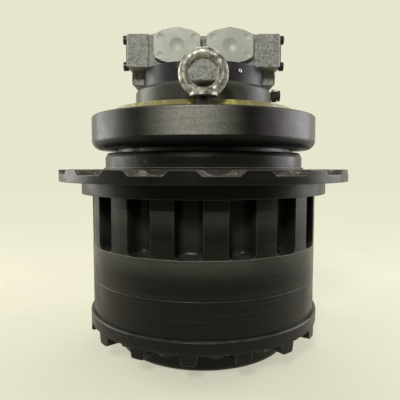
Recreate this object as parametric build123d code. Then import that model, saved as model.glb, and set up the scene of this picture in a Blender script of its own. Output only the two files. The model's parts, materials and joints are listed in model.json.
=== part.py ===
from build123d import *
import math
import os

os.makedirs("parts", exist_ok=True)

# Excavator final drive: two-stage planetary reduction with an axial piston motor.
# It stands on its end cover with the motor up, and Z is the axis of rotation.
# The front, where the oil ports are, faces -Y. Lengths are in millimetres.

# Clearances
FIT = 0.05
GAP = 0.3
END_GAP = 2.0
OVERRUN = 5.0

# Gear train: every gear has the same module, and both stages share one ring gear
MODULE = 5.0
RING_TEETH = 78
SUN_1_TEETH = 12
SUN_2_TEETH = 18
PLANETS = 3
PRESSURE_ANGLE = math.radians(20)
ADDENDUM_SHARE = 0.9
DEDENDUM_SHARE = 1.2
TOOTH_SLACK = 0.25
FACE_WIDTH_1 = 42.0
FACE_WIDTH_2 = 60.0
TRAIN_ANGLE = 30.0

# Feature circle: lands, pockets and lugs repeat together, ribs and notches lie between them
FEATURES = 16
POCKET_ANGLE = -96.1
RIB_ANGLE = -84.85

# End cover
COVER_END_WALL = 16.0
COVER_CAP_HEIGHT = 63.0
COVER_FLANGE = 24.5
COVER_SIDE_WALL = 15.0
COVER_CAP_STEP = 33.5
COVER_FLANGE_LIP = 6.6
COVER_FLANGE_CHAMFER = 2.0
COVER_EDGE_ROUND = 14.0
COVER_REGISTER = 4.5
COVER_BOSS_RADIUS = 26.0
LUG_HEIGHT = 20.0
LUG_TOP_WIDTH = 34.0
LUG_FOOT_WIDTH = 27.0
LUG_DEPTH = 31.0
LUG_ROUND = 4.0
PLUG_RADIUS = 13.0
PLUG_CIRCLE = 138.0
PLUG_SINK = 4.0
PLUG_LENGTH = 14.0
PLUG_SOCKET = 6.0

# Ring gear and hub
RING_SPIGOT_WALL = 9.0
RING_FLANGE = 70.5
BOLT_RADIUS = 10.0
BOLT_HEAD = 12.5
BOLT_THREAD_LENGTH = 30.0
BOLT_TO_SPIGOT = 6.5
HUB_BOLT_HEAD = 20.0
HUB_BOLT_REACH = 36.0
HEAD_ACROSS_FLATS = 30.0
HEAD_WASHER_SHARE = 0.16
JOINT_CHAMFER = 0.8
POCKET_MARGIN = 5.5
DRUM_MARGIN = 7.7
POCKET_WIDTH = 49.0
POCKET_ROUND = 17.0
POCKET_MOUTH_ROUND = 6.0
POCKET_FLOOR_ROUND = 9.0
HOUSING_WALL = 16.0
STEP_HEIGHT = 26.5
STEP_REACH = 22.0
FLANGE_THICKNESS = 24.0
FLANGE_REACH = 45.7
NOTCH_DEPTH = 9.6
NOTCH_FLOOR_RADIUS = 34.0
NOTCH_INSET = 16.9
SPROCKET_HOLE_RADIUS = 11.5
SPROCKET_HOLE_INSET = 26.9
NECK_HEIGHT = 35.1
NECK_WALL = 30.0
NECK_BEAD = 4.0
NECK_CHAMFER = 10.0

# Main bearings and floating seal
BEARING_SECTION = 40.0
BEARING_WIDTH = 46.0
BEARING_SPACER = 20.0
BEARING_RACE = 9.0
ROLLERS = 30
ROLLER_LENGTH = 34.0
ROLLER_TAPER = 1.5
CAGE_RIM = 3.0
SEAL_LAND = 20.0
SEAL_DEPTH = 34.0
SEAL_RECESS_WALL = 20.0
SEAL_RING_WALL = 17.0
SEAL_RING_HEIGHT = 19.0
SEAL_CORD = 5.5
NECK_GAP = 7.0

# Spindle
SHOULDER_STEP = 10.0
NOSE_RADIUS = 84.0
NOSE_SPLINES = 24
NOSE_SPLINE_DEPTH = 4.0
NUT_HEIGHT = 9.0
NUT_THREAD_STEP = 9.0
NUT_WALL = 22.0
NUT_SLOTS = 8
NUT_SLOT_WIDTH = 12.0
NUT_SLOT_DEPTH = 6.0
FRAME_FLANGE_REACH = 28.0
FRAME_FLANGE_HEIGHT = 71.0
FRAME_EDGE_ROUND = 4.5
FRAME_UNDERSIDE_ROUND = 20.0
FRAME_BOLTS = 20
FRAME_BOLT_RADIUS = 10.0
FRAME_BOLT_DEPTH = 42.0
FRAME_BOLT_INSET = 29.0
PILOT_INSET = 50.0
PILOT_HEIGHT = 16.0
MOTOR_RING_HEIGHT = 44.7
MOTOR_RING_WALL = 47.8
MOTOR_RING_ROUND = 10.0
CAVITY_WALL = 46.0
CAVITY_DEPTH = 270.7

# Lifting eyes
EYE_RING_RADIUS = 35.0
EYE_STOCK_RADIUS = 10.0
EYE_COLLAR_RADIUS = 25.0
EYE_COLLAR_HEIGHT = 12.0
EYE_RING_SINK = 4.0
EYE_NECK_RADIUS = 17.0
EYE_THREAD_RADIUS = 12.0
EYE_THREAD_DEPTH = 32.0

# Splines: half widths of a tooth at its tip and its foot, as shares of the pitch
SPLINE_TIP_SHARE = 0.2
SPLINE_FOOT_SHARE = 0.32

# Planet stages
PIN_RADIUS = 22.0
PLANET_ROLLER_RADIUS = 5.5
PLATE_MARGIN = 45.0
PLATE_1_LOWER = 18.0
PLATE_1_UPPER = 10.0
PLATE_2_LOWER = 10.0
PLATE_2_UPPER = 25.0
CARRIER_BORE = 45.0
WEB_INNER = 104.0
WEB_WIDTH = 44.0
SUN_1_SHAFT_RADIUS = 15.0
SUN_1_SPLINES = 12
SUN_1_SPLINE_DEPTH = 2.0
SUN_2_BORE = 24.0
SUN_2_SPLINE_RADIUS = 36.0
SUN_2_SPLINES = 18
SUN_2_SPLINE_DEPTH = 3.0
THRUST_PAD_RADIUS = 20.0
THRUST_PAD_HEIGHT = 10.0

# Motor
SHAFT_RADIUS = 24.0
SHAFT_BEARING_WALL = 21.0
SHAFT_BEARING_WIDTH = 20.0
SHAFT_BALLS = 9
SHAFT_BALL_RADIUS = 5.0
SHAFT_SEAL_WALL = 11.0
SHAFT_SEAL_HEIGHT = 12.0
SHAFT_SPLINES = 16
SHAFT_SPLINE_DEPTH = 2.5
CRADLE_RADIUS = 46.0
CRADLE_WIDTH = 22.0
CRADLE_HEIGHT_SHARE = 0.55
CRADLE_DEPTH_SHARE = 1.5
CRADLE_INNER = 40.0
CRADLE_FLOOR = 5.0
SWASH_RADIUS = 61.0
SWASH_THICKNESS = 12.0
SWASH_TILT = 15.0
SWASH_HOLE_MARGIN = 15.0
PISTONS = 9
PISTON_CIRCLE = 43.0
PISTON_RADIUS = 10.0
PISTON_LENGTH = 78.0
PISTON_NECK_SHARE = 0.7
PISTON_REACH = 22.0
SLIPPER_RADIUS = 12.5
SLIPPER_HEIGHT = 7.0
RETAINER_THICKNESS = 4.0
BLOCK_RADIUS = 66.0
BLOCK_LENGTH = 116.0
BLOCK_SPLINES = 20
BLOCK_SPLINE_DEPTH = 3.0
KIDNEY_WIDTH = 9.0
KIDNEY_LAND = 30.0
VALVE_PLATE_THICKNESS = 9.0
BRAKE_PLATE_THICKNESS = 3.0
BRAKE_FRICTION_PLATES = 3
BRAKE_PISTON_HEIGHT = 46.0
BRAKE_START = 14.0
BRAKE_SPRING_INSET = 8.0
BRAKE_SPRINGS = 4
SPRING_BLADE_SHARE = 0.45
SPEED_PISTON_RADIUS = 7.0
SPEED_PISTON_DEPTH = 24.0
SPEED_PISTON_MARGIN = 4.0

# Motor cover and valve block
COVER_RING_STEP = 16.5
COVER_RING_HEIGHT = 40.3
COVER_NOTCH = 12.0
BLOCK_WIDTH = 321.4
BLOCK_FRONT = 75.0
BLOCK_BACK = 84.0
BLOCK_HEIGHT = 67.6
BLOCK_ROUND = 5.0
BLOCK_STRIP_WIDTH = 10.0
BLOCK_STRIP_DEPTH = 4.0
BLOCK_WING_WIDTH = 46.0
BLOCK_RECESS_WIDTH = 16.0
BLOCK_RECESS_DEPTH = 14.0
SIDE_LEG_REACH = 1.5
SIDE_LEG_DEPTH = 38.0
SIDE_LEG_LIFT = 10.0
SIDE_LEG_WIDTH = 76.0
FRONT_LEG_WIDTH = 66.0
FRONT_LEG_PROUD = 6.0
CASE_BOLT_ANGLES = (-28.0, 28.0, 152.0, 208.0)
CASE_BOLT_MARGIN = 8.0
EAR_PLUG_RADIUS = 8.5
EAR_PLUG_HEAD = 7.0
EAR_PLUG_SHANK_RADIUS = 5.0
EAR_PLUG_HEIGHT = 25.0
TOP_PLUG_SPACING = 80.0
TOP_PLUG_INSET = 22.0
CASE_BOLT_RADIUS = 8.0
CASE_BOLT_HEAD_RADIUS = 12.0
CASE_BOLT_HEAD = 16.0
CASE_BOLT_DEPTH = 28.0
CASE_BOLT_SINK = 17.0
PORT_SPACING = 109.2
PORT_HEIGHT = 41.1
PORT_BORE = 19.0
PORT_DEPTH = 58.0
FLANGE_BOLT_LONG = 69.9
FLANGE_BOLT_SHORT = 35.7
FLANGE_BOLT_RADIUS = 7.0
FLANGE_BOLT_DEPTH = 24.0
CAP_THICKNESS = 10.0
CAP_WIDTH = 97.0
CAP_HEIGHT = 75.0
CAP_ROUND = 9.0
CAP_APEX_WIDTH = 60.0
CAP_SHOULDER = 6.0
CAP_CORNER = 15.0
CAP_DIMPLE_RADIUS = 16.0
CAP_DIMPLE_DEPTH = 3.0
CAP_SPOT_RADIUS = 7.0
CAP_SPOT_DEPTH = 1.2
SPOOL_BORE = 17.0
SPOOL_LAND = 12.0
SPOOL_NECK = 10.0
SPOOL_TRAVEL = 8.0
SPOOL_INSET = 22.0
SIDE_PLATE_THICKNESS = 5.0
SIDE_PLATE_HEIGHT = 50.0
SIDE_BOLT_RADIUS = 5.0
SIDE_BOLT_HEAD_RADIUS = 9.5
SIDE_BOLT_HEAD = 9.7
SIDE_BOLT_LENGTH = 20.0
SIDE_BOLT_HEIGHT_SPAN = 55.0
SIDE_BOLT_DEPTH_SPAN = 112.0
RELIEF_RADIUS = 15.0
RELIEF_HEX = 34.0
RELIEF_HEAD = 22.0
RELIEF_SPACING = 120.0
RELIEF_LENGTH = 46.0
RELIEF_STEM = 9.0
DRAIN_HEX = 25.0
DRAIN_LENGTH = 21.0
DRAIN_LIP = 4.0
DRAIN_COLLAR = 8.0
DRAIN_COLLAR_LENGTH = 3.0
DRAIN_HOSE_RADIUS = 9.0
DRAIN_HEX_LENGTH = 14.0
DRAIN_STUD_RADIUS = 5.0
DRAIN_STUD_LENGTH = 18.0
DRAIN_DROP = 7.0

# Radii worked out from the gear train outwards
ring_pitch_radius = MODULE * RING_TEETH / 2
ring_tip_radius = ring_pitch_radius - ADDENDUM_SHARE * MODULE
ring_root_radius = ring_pitch_radius + DEDENDUM_SHARE * MODULE
spigot_radius = ring_root_radius + RING_SPIGOT_WALL
bolt_circle = spigot_radius + BOLT_TO_SPIGOT + BOLT_RADIUS
head_radius = HEAD_ACROSS_FLATS / math.sqrt(3)
drum_radius = bolt_circle + HEAD_ACROSS_FLATS / 2 + DRUM_MARGIN
pocket_wall_radius = bolt_circle - HEAD_ACROSS_FLATS / 2 - POCKET_MARGIN
bearing_outer_radius = pocket_wall_radius - HOUSING_WALL
journal_radius = bearing_outer_radius - BEARING_SECTION
step_radius = drum_radius + STEP_REACH
flange_radius = step_radius + FLANGE_REACH
sprocket_hole_circle = flange_radius - SPROCKET_HOLE_INSET
notch_circle = flange_radius - NOTCH_INSET
notch_rim_radius = NOTCH_FLOOR_RADIUS + NOTCH_DEPTH
neck_radius = bearing_outer_radius + NECK_WALL
seal_recess_radius = neck_radius - SEAL_RECESS_WALL
shoulder_radius = journal_radius + SHOULDER_STEP
frame_flange_radius = neck_radius + FRAME_FLANGE_REACH
pilot_radius = frame_flange_radius - PILOT_INSET
frame_bolt_circle = frame_flange_radius - FRAME_BOLT_INSET
cavity_radius = journal_radius - CAVITY_WALL
motor_ring_radius = cavity_radius + MOTOR_RING_WALL
cover_ring_radius = motor_ring_radius - COVER_RING_STEP
cover_flange_radius = drum_radius + COVER_FLANGE_LIP
cover_cap_radius = bolt_circle - COVER_CAP_STEP
cover_bore = cover_cap_radius - COVER_SIDE_WALL
register_radius = ring_root_radius + RING_SPIGOT_WALL / 2
planet_1_teeth = (RING_TEETH - SUN_1_TEETH) // 2
planet_2_teeth = (RING_TEETH - SUN_2_TEETH) // 2
planet_1_circle = MODULE * (SUN_1_TEETH + planet_1_teeth) / 2
planet_2_circle = MODULE * (SUN_2_TEETH + planet_2_teeth) / 2
planet_bore = PIN_RADIUS + 2 * PLANET_ROLLER_RADIUS + 2 * GAP
plate_radius = planet_2_circle + PLATE_MARGIN
thread_radius = journal_radius - NUT_THREAD_STEP
nut_radius = thread_radius + NUT_WALL
train_angle_2 = TRAIN_ANGLE + 180 / PLANETS
shaft_bearing_radius = SHAFT_RADIUS + SHAFT_BEARING_WALL
speed_arm = shaft_bearing_radius + SPEED_PISTON_RADIUS + SPEED_PISTON_MARGIN

# Heights worked out upwards from the end cover's face
ring_z = COVER_CAP_HEIGHT + COVER_FLANGE
planet_1_z = ring_z + COVER_REGISTER + END_GAP
planet_1_top = planet_1_z + FACE_WIDTH_1
plate_1_lower_z = planet_1_z - END_GAP - PLATE_1_LOWER
plate_1_upper_z = planet_1_top + END_GAP
plate_1_upper_top = plate_1_upper_z + PLATE_1_UPPER
plate_2_lower_z = plate_1_upper_top + END_GAP
planet_2_z = plate_2_lower_z + PLATE_2_LOWER + END_GAP
planet_2_top = planet_2_z + FACE_WIDTH_2
plate_2_upper_z = planet_2_top + END_GAP
plate_2_upper_top = plate_2_upper_z + PLATE_2_UPPER
hub_shoulder_z = plate_2_upper_z + END_GAP
pocket_z = hub_shoulder_z + OVERRUN
joint_z = ring_z + RING_FLANGE
ring_top = hub_shoulder_z - GAP
hub_bolt_seat_z = ring_z + HUB_BOLT_HEAD + GAP
nut_z = plate_2_upper_top + END_GAP
bearing_1_z = nut_z + NUT_HEIGHT
bearing_1_top = bearing_1_z + BEARING_WIDTH
bearing_2_z = bearing_1_top + BEARING_SPACER
bearing_2_top = bearing_2_z + BEARING_WIDTH
seal_recess_z = bearing_2_top + SEAL_LAND
hub_top = seal_recess_z + SEAL_DEPTH
flange_top = hub_top - NECK_HEIGHT
flange_z = flange_top - FLANGE_THICKNESS
step_z = flange_z - STEP_HEIGHT
frame_flange_z = hub_top + NECK_GAP
frame_face_z = frame_flange_z + FRAME_FLANGE_HEIGHT
pilot_top = frame_face_z + PILOT_HEIGHT
case_top = pilot_top + MOTOR_RING_HEIGHT
cavity_floor = case_top - CAVITY_DEPTH
swash_z = cavity_floor + CRADLE_FLOOR + CRADLE_RADIUS + GAP
slipper_z = swash_z + (PISTON_CIRCLE + SLIPPER_RADIUS) * math.tan(math.radians(SWASH_TILT)) + GAP
retainer_z = slipper_z + SLIPPER_HEIGHT - RETAINER_THICKNESS
block_z = slipper_z + SLIPPER_HEIGHT + PISTON_REACH
block_top = block_z + BLOCK_LENGTH
valve_plate_z = block_top + GAP
motor_cover_z = valve_plate_z + VALVE_PLATE_THICKNESS
brake_z = block_z + BRAKE_START
brake_pitch = BRAKE_PLATE_THICKNESS + GAP
brake_piston_z = brake_z + (2 * BRAKE_FRICTION_PLATES + 1) * brake_pitch
brake_piston_top = brake_piston_z + BRAKE_PISTON_HEIGHT
valve_block_z = case_top + COVER_RING_HEIGHT
valve_block_top = valve_block_z + BLOCK_HEIGHT
port_z = valve_block_z + PORT_HEIGHT
spool_z = valve_block_z + BLOCK_HEIGHT / 2


def turned(points, rounds=None):
    """Solid of revolution about Z from (radius, height) corners; rounds gives radii by corner number."""
    face = make_face(Polyline(*[(r, 0, z) for r, z in points], close=True))
    for index, radius in (rounds or {}).items():
        r, z = points[index]
        corner = face.vertices().sort_by_distance((r, 0, z))[0]
        face = fillet(corner, radius)
    return revolve(face, Axis.Z)


def ring(inner, outer, low, high):
    """Plain ring between two radii and two heights."""
    return turned([(inner, low), (outer, low), (outer, high), (inner, high)])


def rod(radius, low, high):
    """Plain round bar on the Z axis."""
    return Pos(0, 0, low) * Cylinder(radius, high - low, align=(Align.CENTER, Align.CENTER, Align.MIN))


def around(count, first, shape):
    """Copies of a shape, evenly spaced about Z, the first turned by an angle in degrees."""
    return [Rot(0, 0, first + 360 / count * i) * shape for i in range(count)]


def prism(points, low, high):
    """Upright prism on a closed outline of (x, y) corners."""
    face = make_face(Polyline(*[(x, y, low) for x, y in points], close=True))
    return extrude(face, high - low, dir=(0, 0, 1))


def involute(angle):
    """The involute function of a pressure angle."""
    return math.tan(angle) - angle


def tooth_points(teeth, tip, root, slack, first=0.0):
    """Outline of a gear with straight flank pieces, with a tooth centred on the angle first, in degrees."""
    pitch_radius = MODULE * teeth / 2
    base = pitch_radius * math.cos(PRESSURE_ANGLE)

    def half(radius):
        pressure = math.acos(min(1, base / max(radius, base)))
        return math.pi / (2 * teeth) + slack / pitch_radius + involute(PRESSURE_ANGLE) - involute(pressure)

    low, high = sorted((tip, root))
    radii = [low, pitch_radius, high]
    points = []
    for tooth in range(teeth):
        centre = math.radians(first) + 2 * math.pi * tooth / teeth
        flank = [(r, centre - half(r)) for r in radii] + [(r, centre + half(r)) for r in reversed(radii)]
        points += [(r * math.cos(a), r * math.sin(a)) for r, a in flank]
    return points


def gear(teeth, low, high, first):
    """External gear blank with no bore."""
    pitch_radius = MODULE * teeth / 2
    tip = pitch_radius + ADDENDUM_SHARE * MODULE
    root = pitch_radius - DEDENDUM_SHARE * MODULE
    return prism(tooth_points(teeth, tip, root, -TOOTH_SLACK, first), low, high)


def spline_shaft(count, radius, depth, low, high, slack=0.0):
    """Splined bar, grown on every side by slack so that it can also cut its own socket."""
    pitch = 2 * math.pi / count
    points = []
    for tooth in range(count):
        flank = ((radius - depth, SPLINE_FOOT_SHARE), (radius, SPLINE_TIP_SHARE))
        for r, offset in [(r, -share) for r, share in flank] + list(reversed(flank)):
            angle = pitch * (tooth + offset) + math.copysign(slack / radius, offset)
            points.append(((r + slack) * math.cos(angle), (r + slack) * math.sin(angle)))
    return prism(points, low, high)


def hex_bar(across_flats, low, high):
    """Hexagonal bar on the Z axis."""
    return Pos(0, 0, low) * extrude(RegularPolygon(across_flats / math.sqrt(3), 6), high - low)


def hex_bolt(radius, across_flats, head, length):
    """Hex bolt with its head up, its seat at the origin and its shank below."""
    hexagon = hex_bar(across_flats, 0, head)
    hexagon &= turned(
        [
            (0, 0),
            (across_flats, 0),
            (across_flats, head - across_flats / 4),
            (across_flats / 2, head),
            (0, head),
        ]
    )
    washer = rod(across_flats / 2 + GAP, 0, head * HEAD_WASHER_SHARE)
    return hexagon + washer + rod(radius, -length, 0)


def cap_screw(radius, head_radius, head, length):
    """Socket head cap screw with its head up, its seat at the origin and its shank below."""
    body = rod(head_radius, 0, head) + rod(radius, -length, 0)
    socket = extrude(RegularPolygon(head_radius / 2, 6), head)
    return body - Pos(0, 0, head / 2) * socket


def write(name, shapes):
    """One STEP file for one node, from a shape or a list of shapes."""
    solids = []
    for shape in shapes if isinstance(shapes, (list, tuple)) else [shapes]:
        solids += shape.solids()
    part = solids[0] if len(solids) == 1 else Compound(children=solids)
    part.label = name
    export_step(part, f"parts/{name}.step")


def end_cover():
    """Dished cover with a flange, hanging lugs that guard the bolt heads, and three plug holes."""
    boss_top = plate_1_lower_z - END_GAP
    cover = turned(
        [
            (0, 0),
            (cover_cap_radius, 0),
            (cover_cap_radius, COVER_CAP_HEIGHT),
            (cover_flange_radius + OVERRUN, COVER_CAP_HEIGHT),
            (cover_flange_radius + OVERRUN, ring_z),
            (register_radius, ring_z),
            (register_radius, ring_z + COVER_REGISTER - GAP),
            (cover_bore, ring_z + COVER_REGISTER - GAP),
            (cover_bore, COVER_END_WALL),
            (COVER_BOSS_RADIUS, COVER_END_WALL),
            (COVER_BOSS_RADIUS, boss_top),
            (0, boss_top),
        ],
        {1: COVER_EDGE_ROUND, 8: COVER_SIDE_WALL},
    )
    half_top, half_foot = LUG_TOP_WIDTH / 2, LUG_FOOT_WIDTH / 2
    top_z, foot_z = COVER_CAP_HEIGHT + COVER_FLANGE / 2, COVER_CAP_HEIGHT - LUG_HEIGHT
    outline = [
        (half_top, top_z),
        (half_top, COVER_CAP_HEIGHT),
        (half_foot, foot_z),
        (-half_foot, foot_z),
        (-half_top, COVER_CAP_HEIGHT),
        (-half_top, top_z),
    ]
    inner = cover_flange_radius - LUG_DEPTH
    face = make_face(Polyline(*[(inner, y, z) for y, z in outline], close=True))
    face = fillet([v for v in face.vertices() if v.Z < foot_z + GAP], LUG_ROUND)
    lug = extrude(face, LUG_DEPTH + 2 * OVERRUN, dir=(1, 0, 0))
    cover += around(FEATURES, POCKET_ANGLE, lug)
    far = cover_flange_radius + 4 * OVERRUN
    cover -= turned(
        [
            (cover_flange_radius, foot_z - OVERRUN),
            (far, foot_z - OVERRUN),
            (far, ring_z + OVERRUN),
            (cover_flange_radius - COVER_FLANGE_CHAMFER, ring_z + OVERRUN),
            (cover_flange_radius - COVER_FLANGE_CHAMFER, ring_z),
            (cover_flange_radius, ring_z - COVER_FLANGE_CHAMFER),
        ]
    )
    hole = Pos(bolt_circle, 0, 0) * rod(BOLT_RADIUS + FIT, COVER_CAP_HEIGHT - OVERRUN, ring_z + OVERRUN)
    cover -= around(FEATURES, RIB_ANGLE, hole)
    cover -= [place * rod(PLUG_RADIUS + FIT, -OVERRUN, COVER_END_WALL + OVERRUN) for place in plug_places()]
    cover -= [place * rod(PLUG_RADIUS + PLUG_SINK, -OVERRUN, PLUG_SINK) for place in plug_places()]
    return cover


def plug_places():
    """Fill, level and drain plugs, a quarter turn apart."""
    return [Rot(0, 0, 90 * turn) * Pos(PLUG_CIRCLE, 0, 0) for turn in range(3)]


def oil_plugs():
    """Three socket plugs, sunk in the cover's face."""
    flange = rod(PLUG_RADIUS + PLUG_SINK - 2 * GAP, PLUG_SINK / 4, PLUG_SINK)
    socket = extrude(RegularPolygon(PLUG_SOCKET, 6), PLUG_LENGTH / 2)
    plug = flange + rod(PLUG_RADIUS, PLUG_SINK, PLUG_LENGTH) - socket
    return [place * plug for place in plug_places()]


def cover_bolts():
    """Hex bolts between the lugs, heads down."""
    length = COVER_FLANGE + BOLT_THREAD_LENGTH - FIT
    bolt = Rot(180, 0, 0) * hex_bolt(BOLT_RADIUS, HEAD_ACROSS_FLATS, BOLT_HEAD, length)
    return around(FEATURES, RIB_ANGLE, Pos(bolt_circle, 0, COVER_CAP_HEIGHT) * bolt)


def thrust_pad():
    """Hardened button that takes the sun shaft's end thrust."""
    low = plate_1_lower_z - END_GAP
    return turned(
        [
            (0, low),
            (THRUST_PAD_RADIUS, low),
            (THRUST_PAD_RADIUS, low + THRUST_PAD_HEIGHT),
            (0, low + THRUST_PAD_HEIGHT),
        ],
        {2: END_GAP},
    )


def ring_gear():
    """Internal ring gear for both stages, with a spigot in the hub."""
    body = turned(
        [
            (ring_tip_radius, ring_z),
            (drum_radius, ring_z),
            (drum_radius, joint_z - JOINT_CHAMFER),
            (drum_radius - JOINT_CHAMFER, joint_z),
            (spigot_radius, joint_z),
            (spigot_radius, ring_top),
            (ring_tip_radius, ring_top),
        ]
    )
    body -= rod(register_radius + GAP, ring_z - OVERRUN, ring_z + COVER_REGISTER)
    space = tooth_points(RING_TEETH, ring_tip_radius, ring_root_radius, TOOTH_SLACK, TRAIN_ANGLE)
    cutter = prism(space, ring_z - OVERRUN, ring_top + OVERRUN)
    body -= cutter
    cover_hole = rod(BOLT_RADIUS + FIT, ring_z - OVERRUN, ring_z + BOLT_THREAD_LENGTH)
    hub_hole = rod(BOLT_RADIUS + FIT, ring_z, joint_z + OVERRUN)
    hub_hole += rod(HEAD_ACROSS_FLATS / 2 + END_GAP / 2, ring_z - OVERRUN, hub_bolt_seat_z)
    body -= around(FEATURES, RIB_ANGLE, Pos(bolt_circle, 0, 0) * cover_hole)
    body -= around(FEATURES, POCKET_ANGLE, Pos(bolt_circle, 0, 0) * hub_hole)
    return body


def pocket_cutter():
    """Cutter for one deep cast pocket: rounded back, flared mouth and a floor that runs up into the walls."""
    half, inner = POCKET_WIDTH / 2, pocket_wall_radius
    mouth = half + POCKET_MOUTH_ROUND + OVERRUN
    outer = drum_radius + POCKET_FLOOR_ROUND + OVERRUN
    corners = [
        (inner, -half),
        (drum_radius, -half),
        (drum_radius, -mouth),
        (outer, -mouth),
        (outer, mouth),
        (drum_radius, mouth),
        (drum_radius, half),
        (inner, half),
    ]
    face = make_face(Polyline(*[(x, y, pocket_z) for x, y in corners], close=True))
    face = fillet([v for v in face.vertices() if v.X < inner + GAP], POCKET_ROUND)
    lips = [v for v in face.vertices() if abs(v.X - drum_radius) < GAP and abs(v.Y) < half + GAP]
    cutter = extrude(fillet(lips, POCKET_MOUTH_ROUND), step_z - pocket_z, dir=(0, 0, 1))
    floor = cutter.faces().sort_by(Axis.Z)[0]
    walls = [e for e in floor.edges() if e.center().X < drum_radius - POCKET_MOUTH_ROUND]
    return fillet(walls, POCKET_FLOOR_ROUND)


def hub():
    """Rotating housing: drum skirt, ribs and pockets, sprocket flange with spot faces, and seal neck."""
    bead_radius = neck_radius + NECK_BEAD
    body = turned(
        [
            (spigot_radius + GAP, joint_z),
            (drum_radius - JOINT_CHAMFER, joint_z),
            (drum_radius, joint_z + JOINT_CHAMFER),
            (drum_radius, step_z),
            (step_radius, step_z),
            (step_radius, flange_z),
            (flange_radius, flange_z),
            (flange_radius, flange_top),
            (bead_radius, flange_top),
            (bead_radius, flange_top + NECK_BEAD),
            (neck_radius, flange_top + NECK_BEAD),
            (neck_radius, hub_top - NECK_CHAMFER),
            (neck_radius - NECK_CHAMFER / 2, hub_top),
            (seal_recess_radius, hub_top),
            (seal_recess_radius, seal_recess_z),
            (bearing_outer_radius, seal_recess_z),
            (bearing_outer_radius, bearing_2_z),
            (bearing_outer_radius - BEARING_RACE, bearing_2_z),
            (bearing_outer_radius - BEARING_RACE, bearing_1_top),
            (bearing_outer_radius, bearing_1_top),
            (bearing_outer_radius, hub_shoulder_z),
            (spigot_radius + GAP, hub_shoulder_z),
        ],
        {6: 2 * GAP, 7: 2 * GAP},
    )
    body -= around(FEATURES, POCKET_ANGLE, pocket_cutter())
    notch = Pos(notch_circle, 0, flange_top - NOTCH_DEPTH) * Cone(
        NOTCH_FLOOR_RADIUS,
        notch_rim_radius + OVERRUN,
        NOTCH_DEPTH + OVERRUN,
        align=(Align.CENTER, Align.CENTER, Align.MIN),
    )
    guard = rod(bead_radius + NECK_BEAD, flange_z, flange_top + NOTCH_DEPTH)
    body -= around(FEATURES, RIB_ANGLE, notch - guard)
    sprocket_hole = rod(SPROCKET_HOLE_RADIUS, flange_z - OVERRUN, flange_top + OVERRUN)
    body -= around(FEATURES, RIB_ANGLE, Pos(sprocket_hole_circle, 0, 0) * sprocket_hole)
    bolt_hole = rod(BOLT_RADIUS + FIT, joint_z - OVERRUN, joint_z + HUB_BOLT_REACH)
    body -= around(FEATURES, POCKET_ANGLE, Pos(bolt_circle, 0, 0) * bolt_hole)
    return body


def hub_bolts():
    """Cap screws that clamp the ring gear to the hub, their heads sunk under the end cover."""
    length = joint_z - hub_bolt_seat_z + HUB_BOLT_REACH - FIT
    screw = Rot(180, 0, 0) * cap_screw(BOLT_RADIUS, HEAD_ACROSS_FLATS / 2, HUB_BOLT_HEAD, length)
    return around(FEATURES, POCKET_ANGLE, Pos(bolt_circle, 0, hub_bolt_seat_z) * screw)


def main_bearing(low, upper):
    """Inner race, cage with rollers, and outer race of one taper roller bearing, as if it opened upwards."""
    high = low + BEARING_WIDTH
    middle = journal_radius + BEARING_SECTION / 2
    reach = BEARING_SECTION / 2 - BEARING_RACE
    roller = reach - GAP
    inner = turned(
        [
            (journal_radius + FIT, low),
            (middle - reach - ROLLER_TAPER, low),
            (middle - reach + ROLLER_TAPER, high),
            (journal_radius + FIT, high),
        ]
    )
    outer = turned(
        [
            (middle + reach - ROLLER_TAPER, low),
            (bearing_outer_radius - FIT, low),
            (bearing_outer_radius - FIT, high),
            (middle + reach + ROLLER_TAPER, high),
        ]
    )
    tilt = math.degrees(math.atan2(2 * ROLLER_TAPER, BEARING_WIDTH))
    shape = Rot(0, tilt, 0) * Cylinder(roller, ROLLER_LENGTH)
    rollers = around(ROLLERS, 0, Pos(middle, 0, (low + high) / 2) * shape)
    cage_low = low + (BEARING_WIDTH - ROLLER_LENGTH) / 2 - CAGE_RIM
    cage_high = high - (BEARING_WIDTH - ROLLER_LENGTH) / 2 + CAGE_RIM
    bar = turned(
        [
            (middle - CAGE_RIM - ROLLER_TAPER / 2, cage_low),
            (middle + CAGE_RIM - ROLLER_TAPER / 2, cage_low),
            (middle + CAGE_RIM + ROLLER_TAPER / 2, cage_high),
            (middle - CAGE_RIM + ROLLER_TAPER / 2, cage_high),
        ]
    )
    hole = Rot(0, tilt, 0) * Cylinder(roller + FIT, ROLLER_LENGTH)
    cage = bar - around(ROLLERS, 0, Pos(middle, 0, (low + high) / 2) * hole)
    pieces = [inner, rollers, cage, outer]
    if upper:
        return pieces
    flip = Pos(0, 0, low + high) * Rot(180, 0, 0)
    return [[flip * s for s in p] if isinstance(p, list) else flip * p for p in pieces]


def retainer_nut():
    """Slotted ring nut under the lower main bearing."""
    nut = ring(thread_radius + FIT, nut_radius, nut_z, nut_z + NUT_HEIGHT)
    slot = Pos(nut_radius, 0, nut_z + NUT_HEIGHT / 2) * Box(
        2 * NUT_SLOT_DEPTH, NUT_SLOT_WIDTH, NUT_HEIGHT + OVERRUN
    )
    return nut - around(NUT_SLOTS, 0, slot)


def seal_ring(low):
    """Lapped metal seal ring, as if its running face were on top."""
    outer = seal_recess_radius - 2 * SEAL_CORD - GAP
    inner = outer - SEAL_RING_WALL
    high = low + SEAL_RING_HEIGHT
    return turned(
        [
            (inner, low),
            (outer, low),
            (outer, low + SEAL_RING_HEIGHT * 2 / 3),
            (outer + SEAL_CORD, low + SEAL_RING_HEIGHT * 2 / 3),
            (outer + SEAL_CORD, high),
            (inner, high),
        ]
    )


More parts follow.
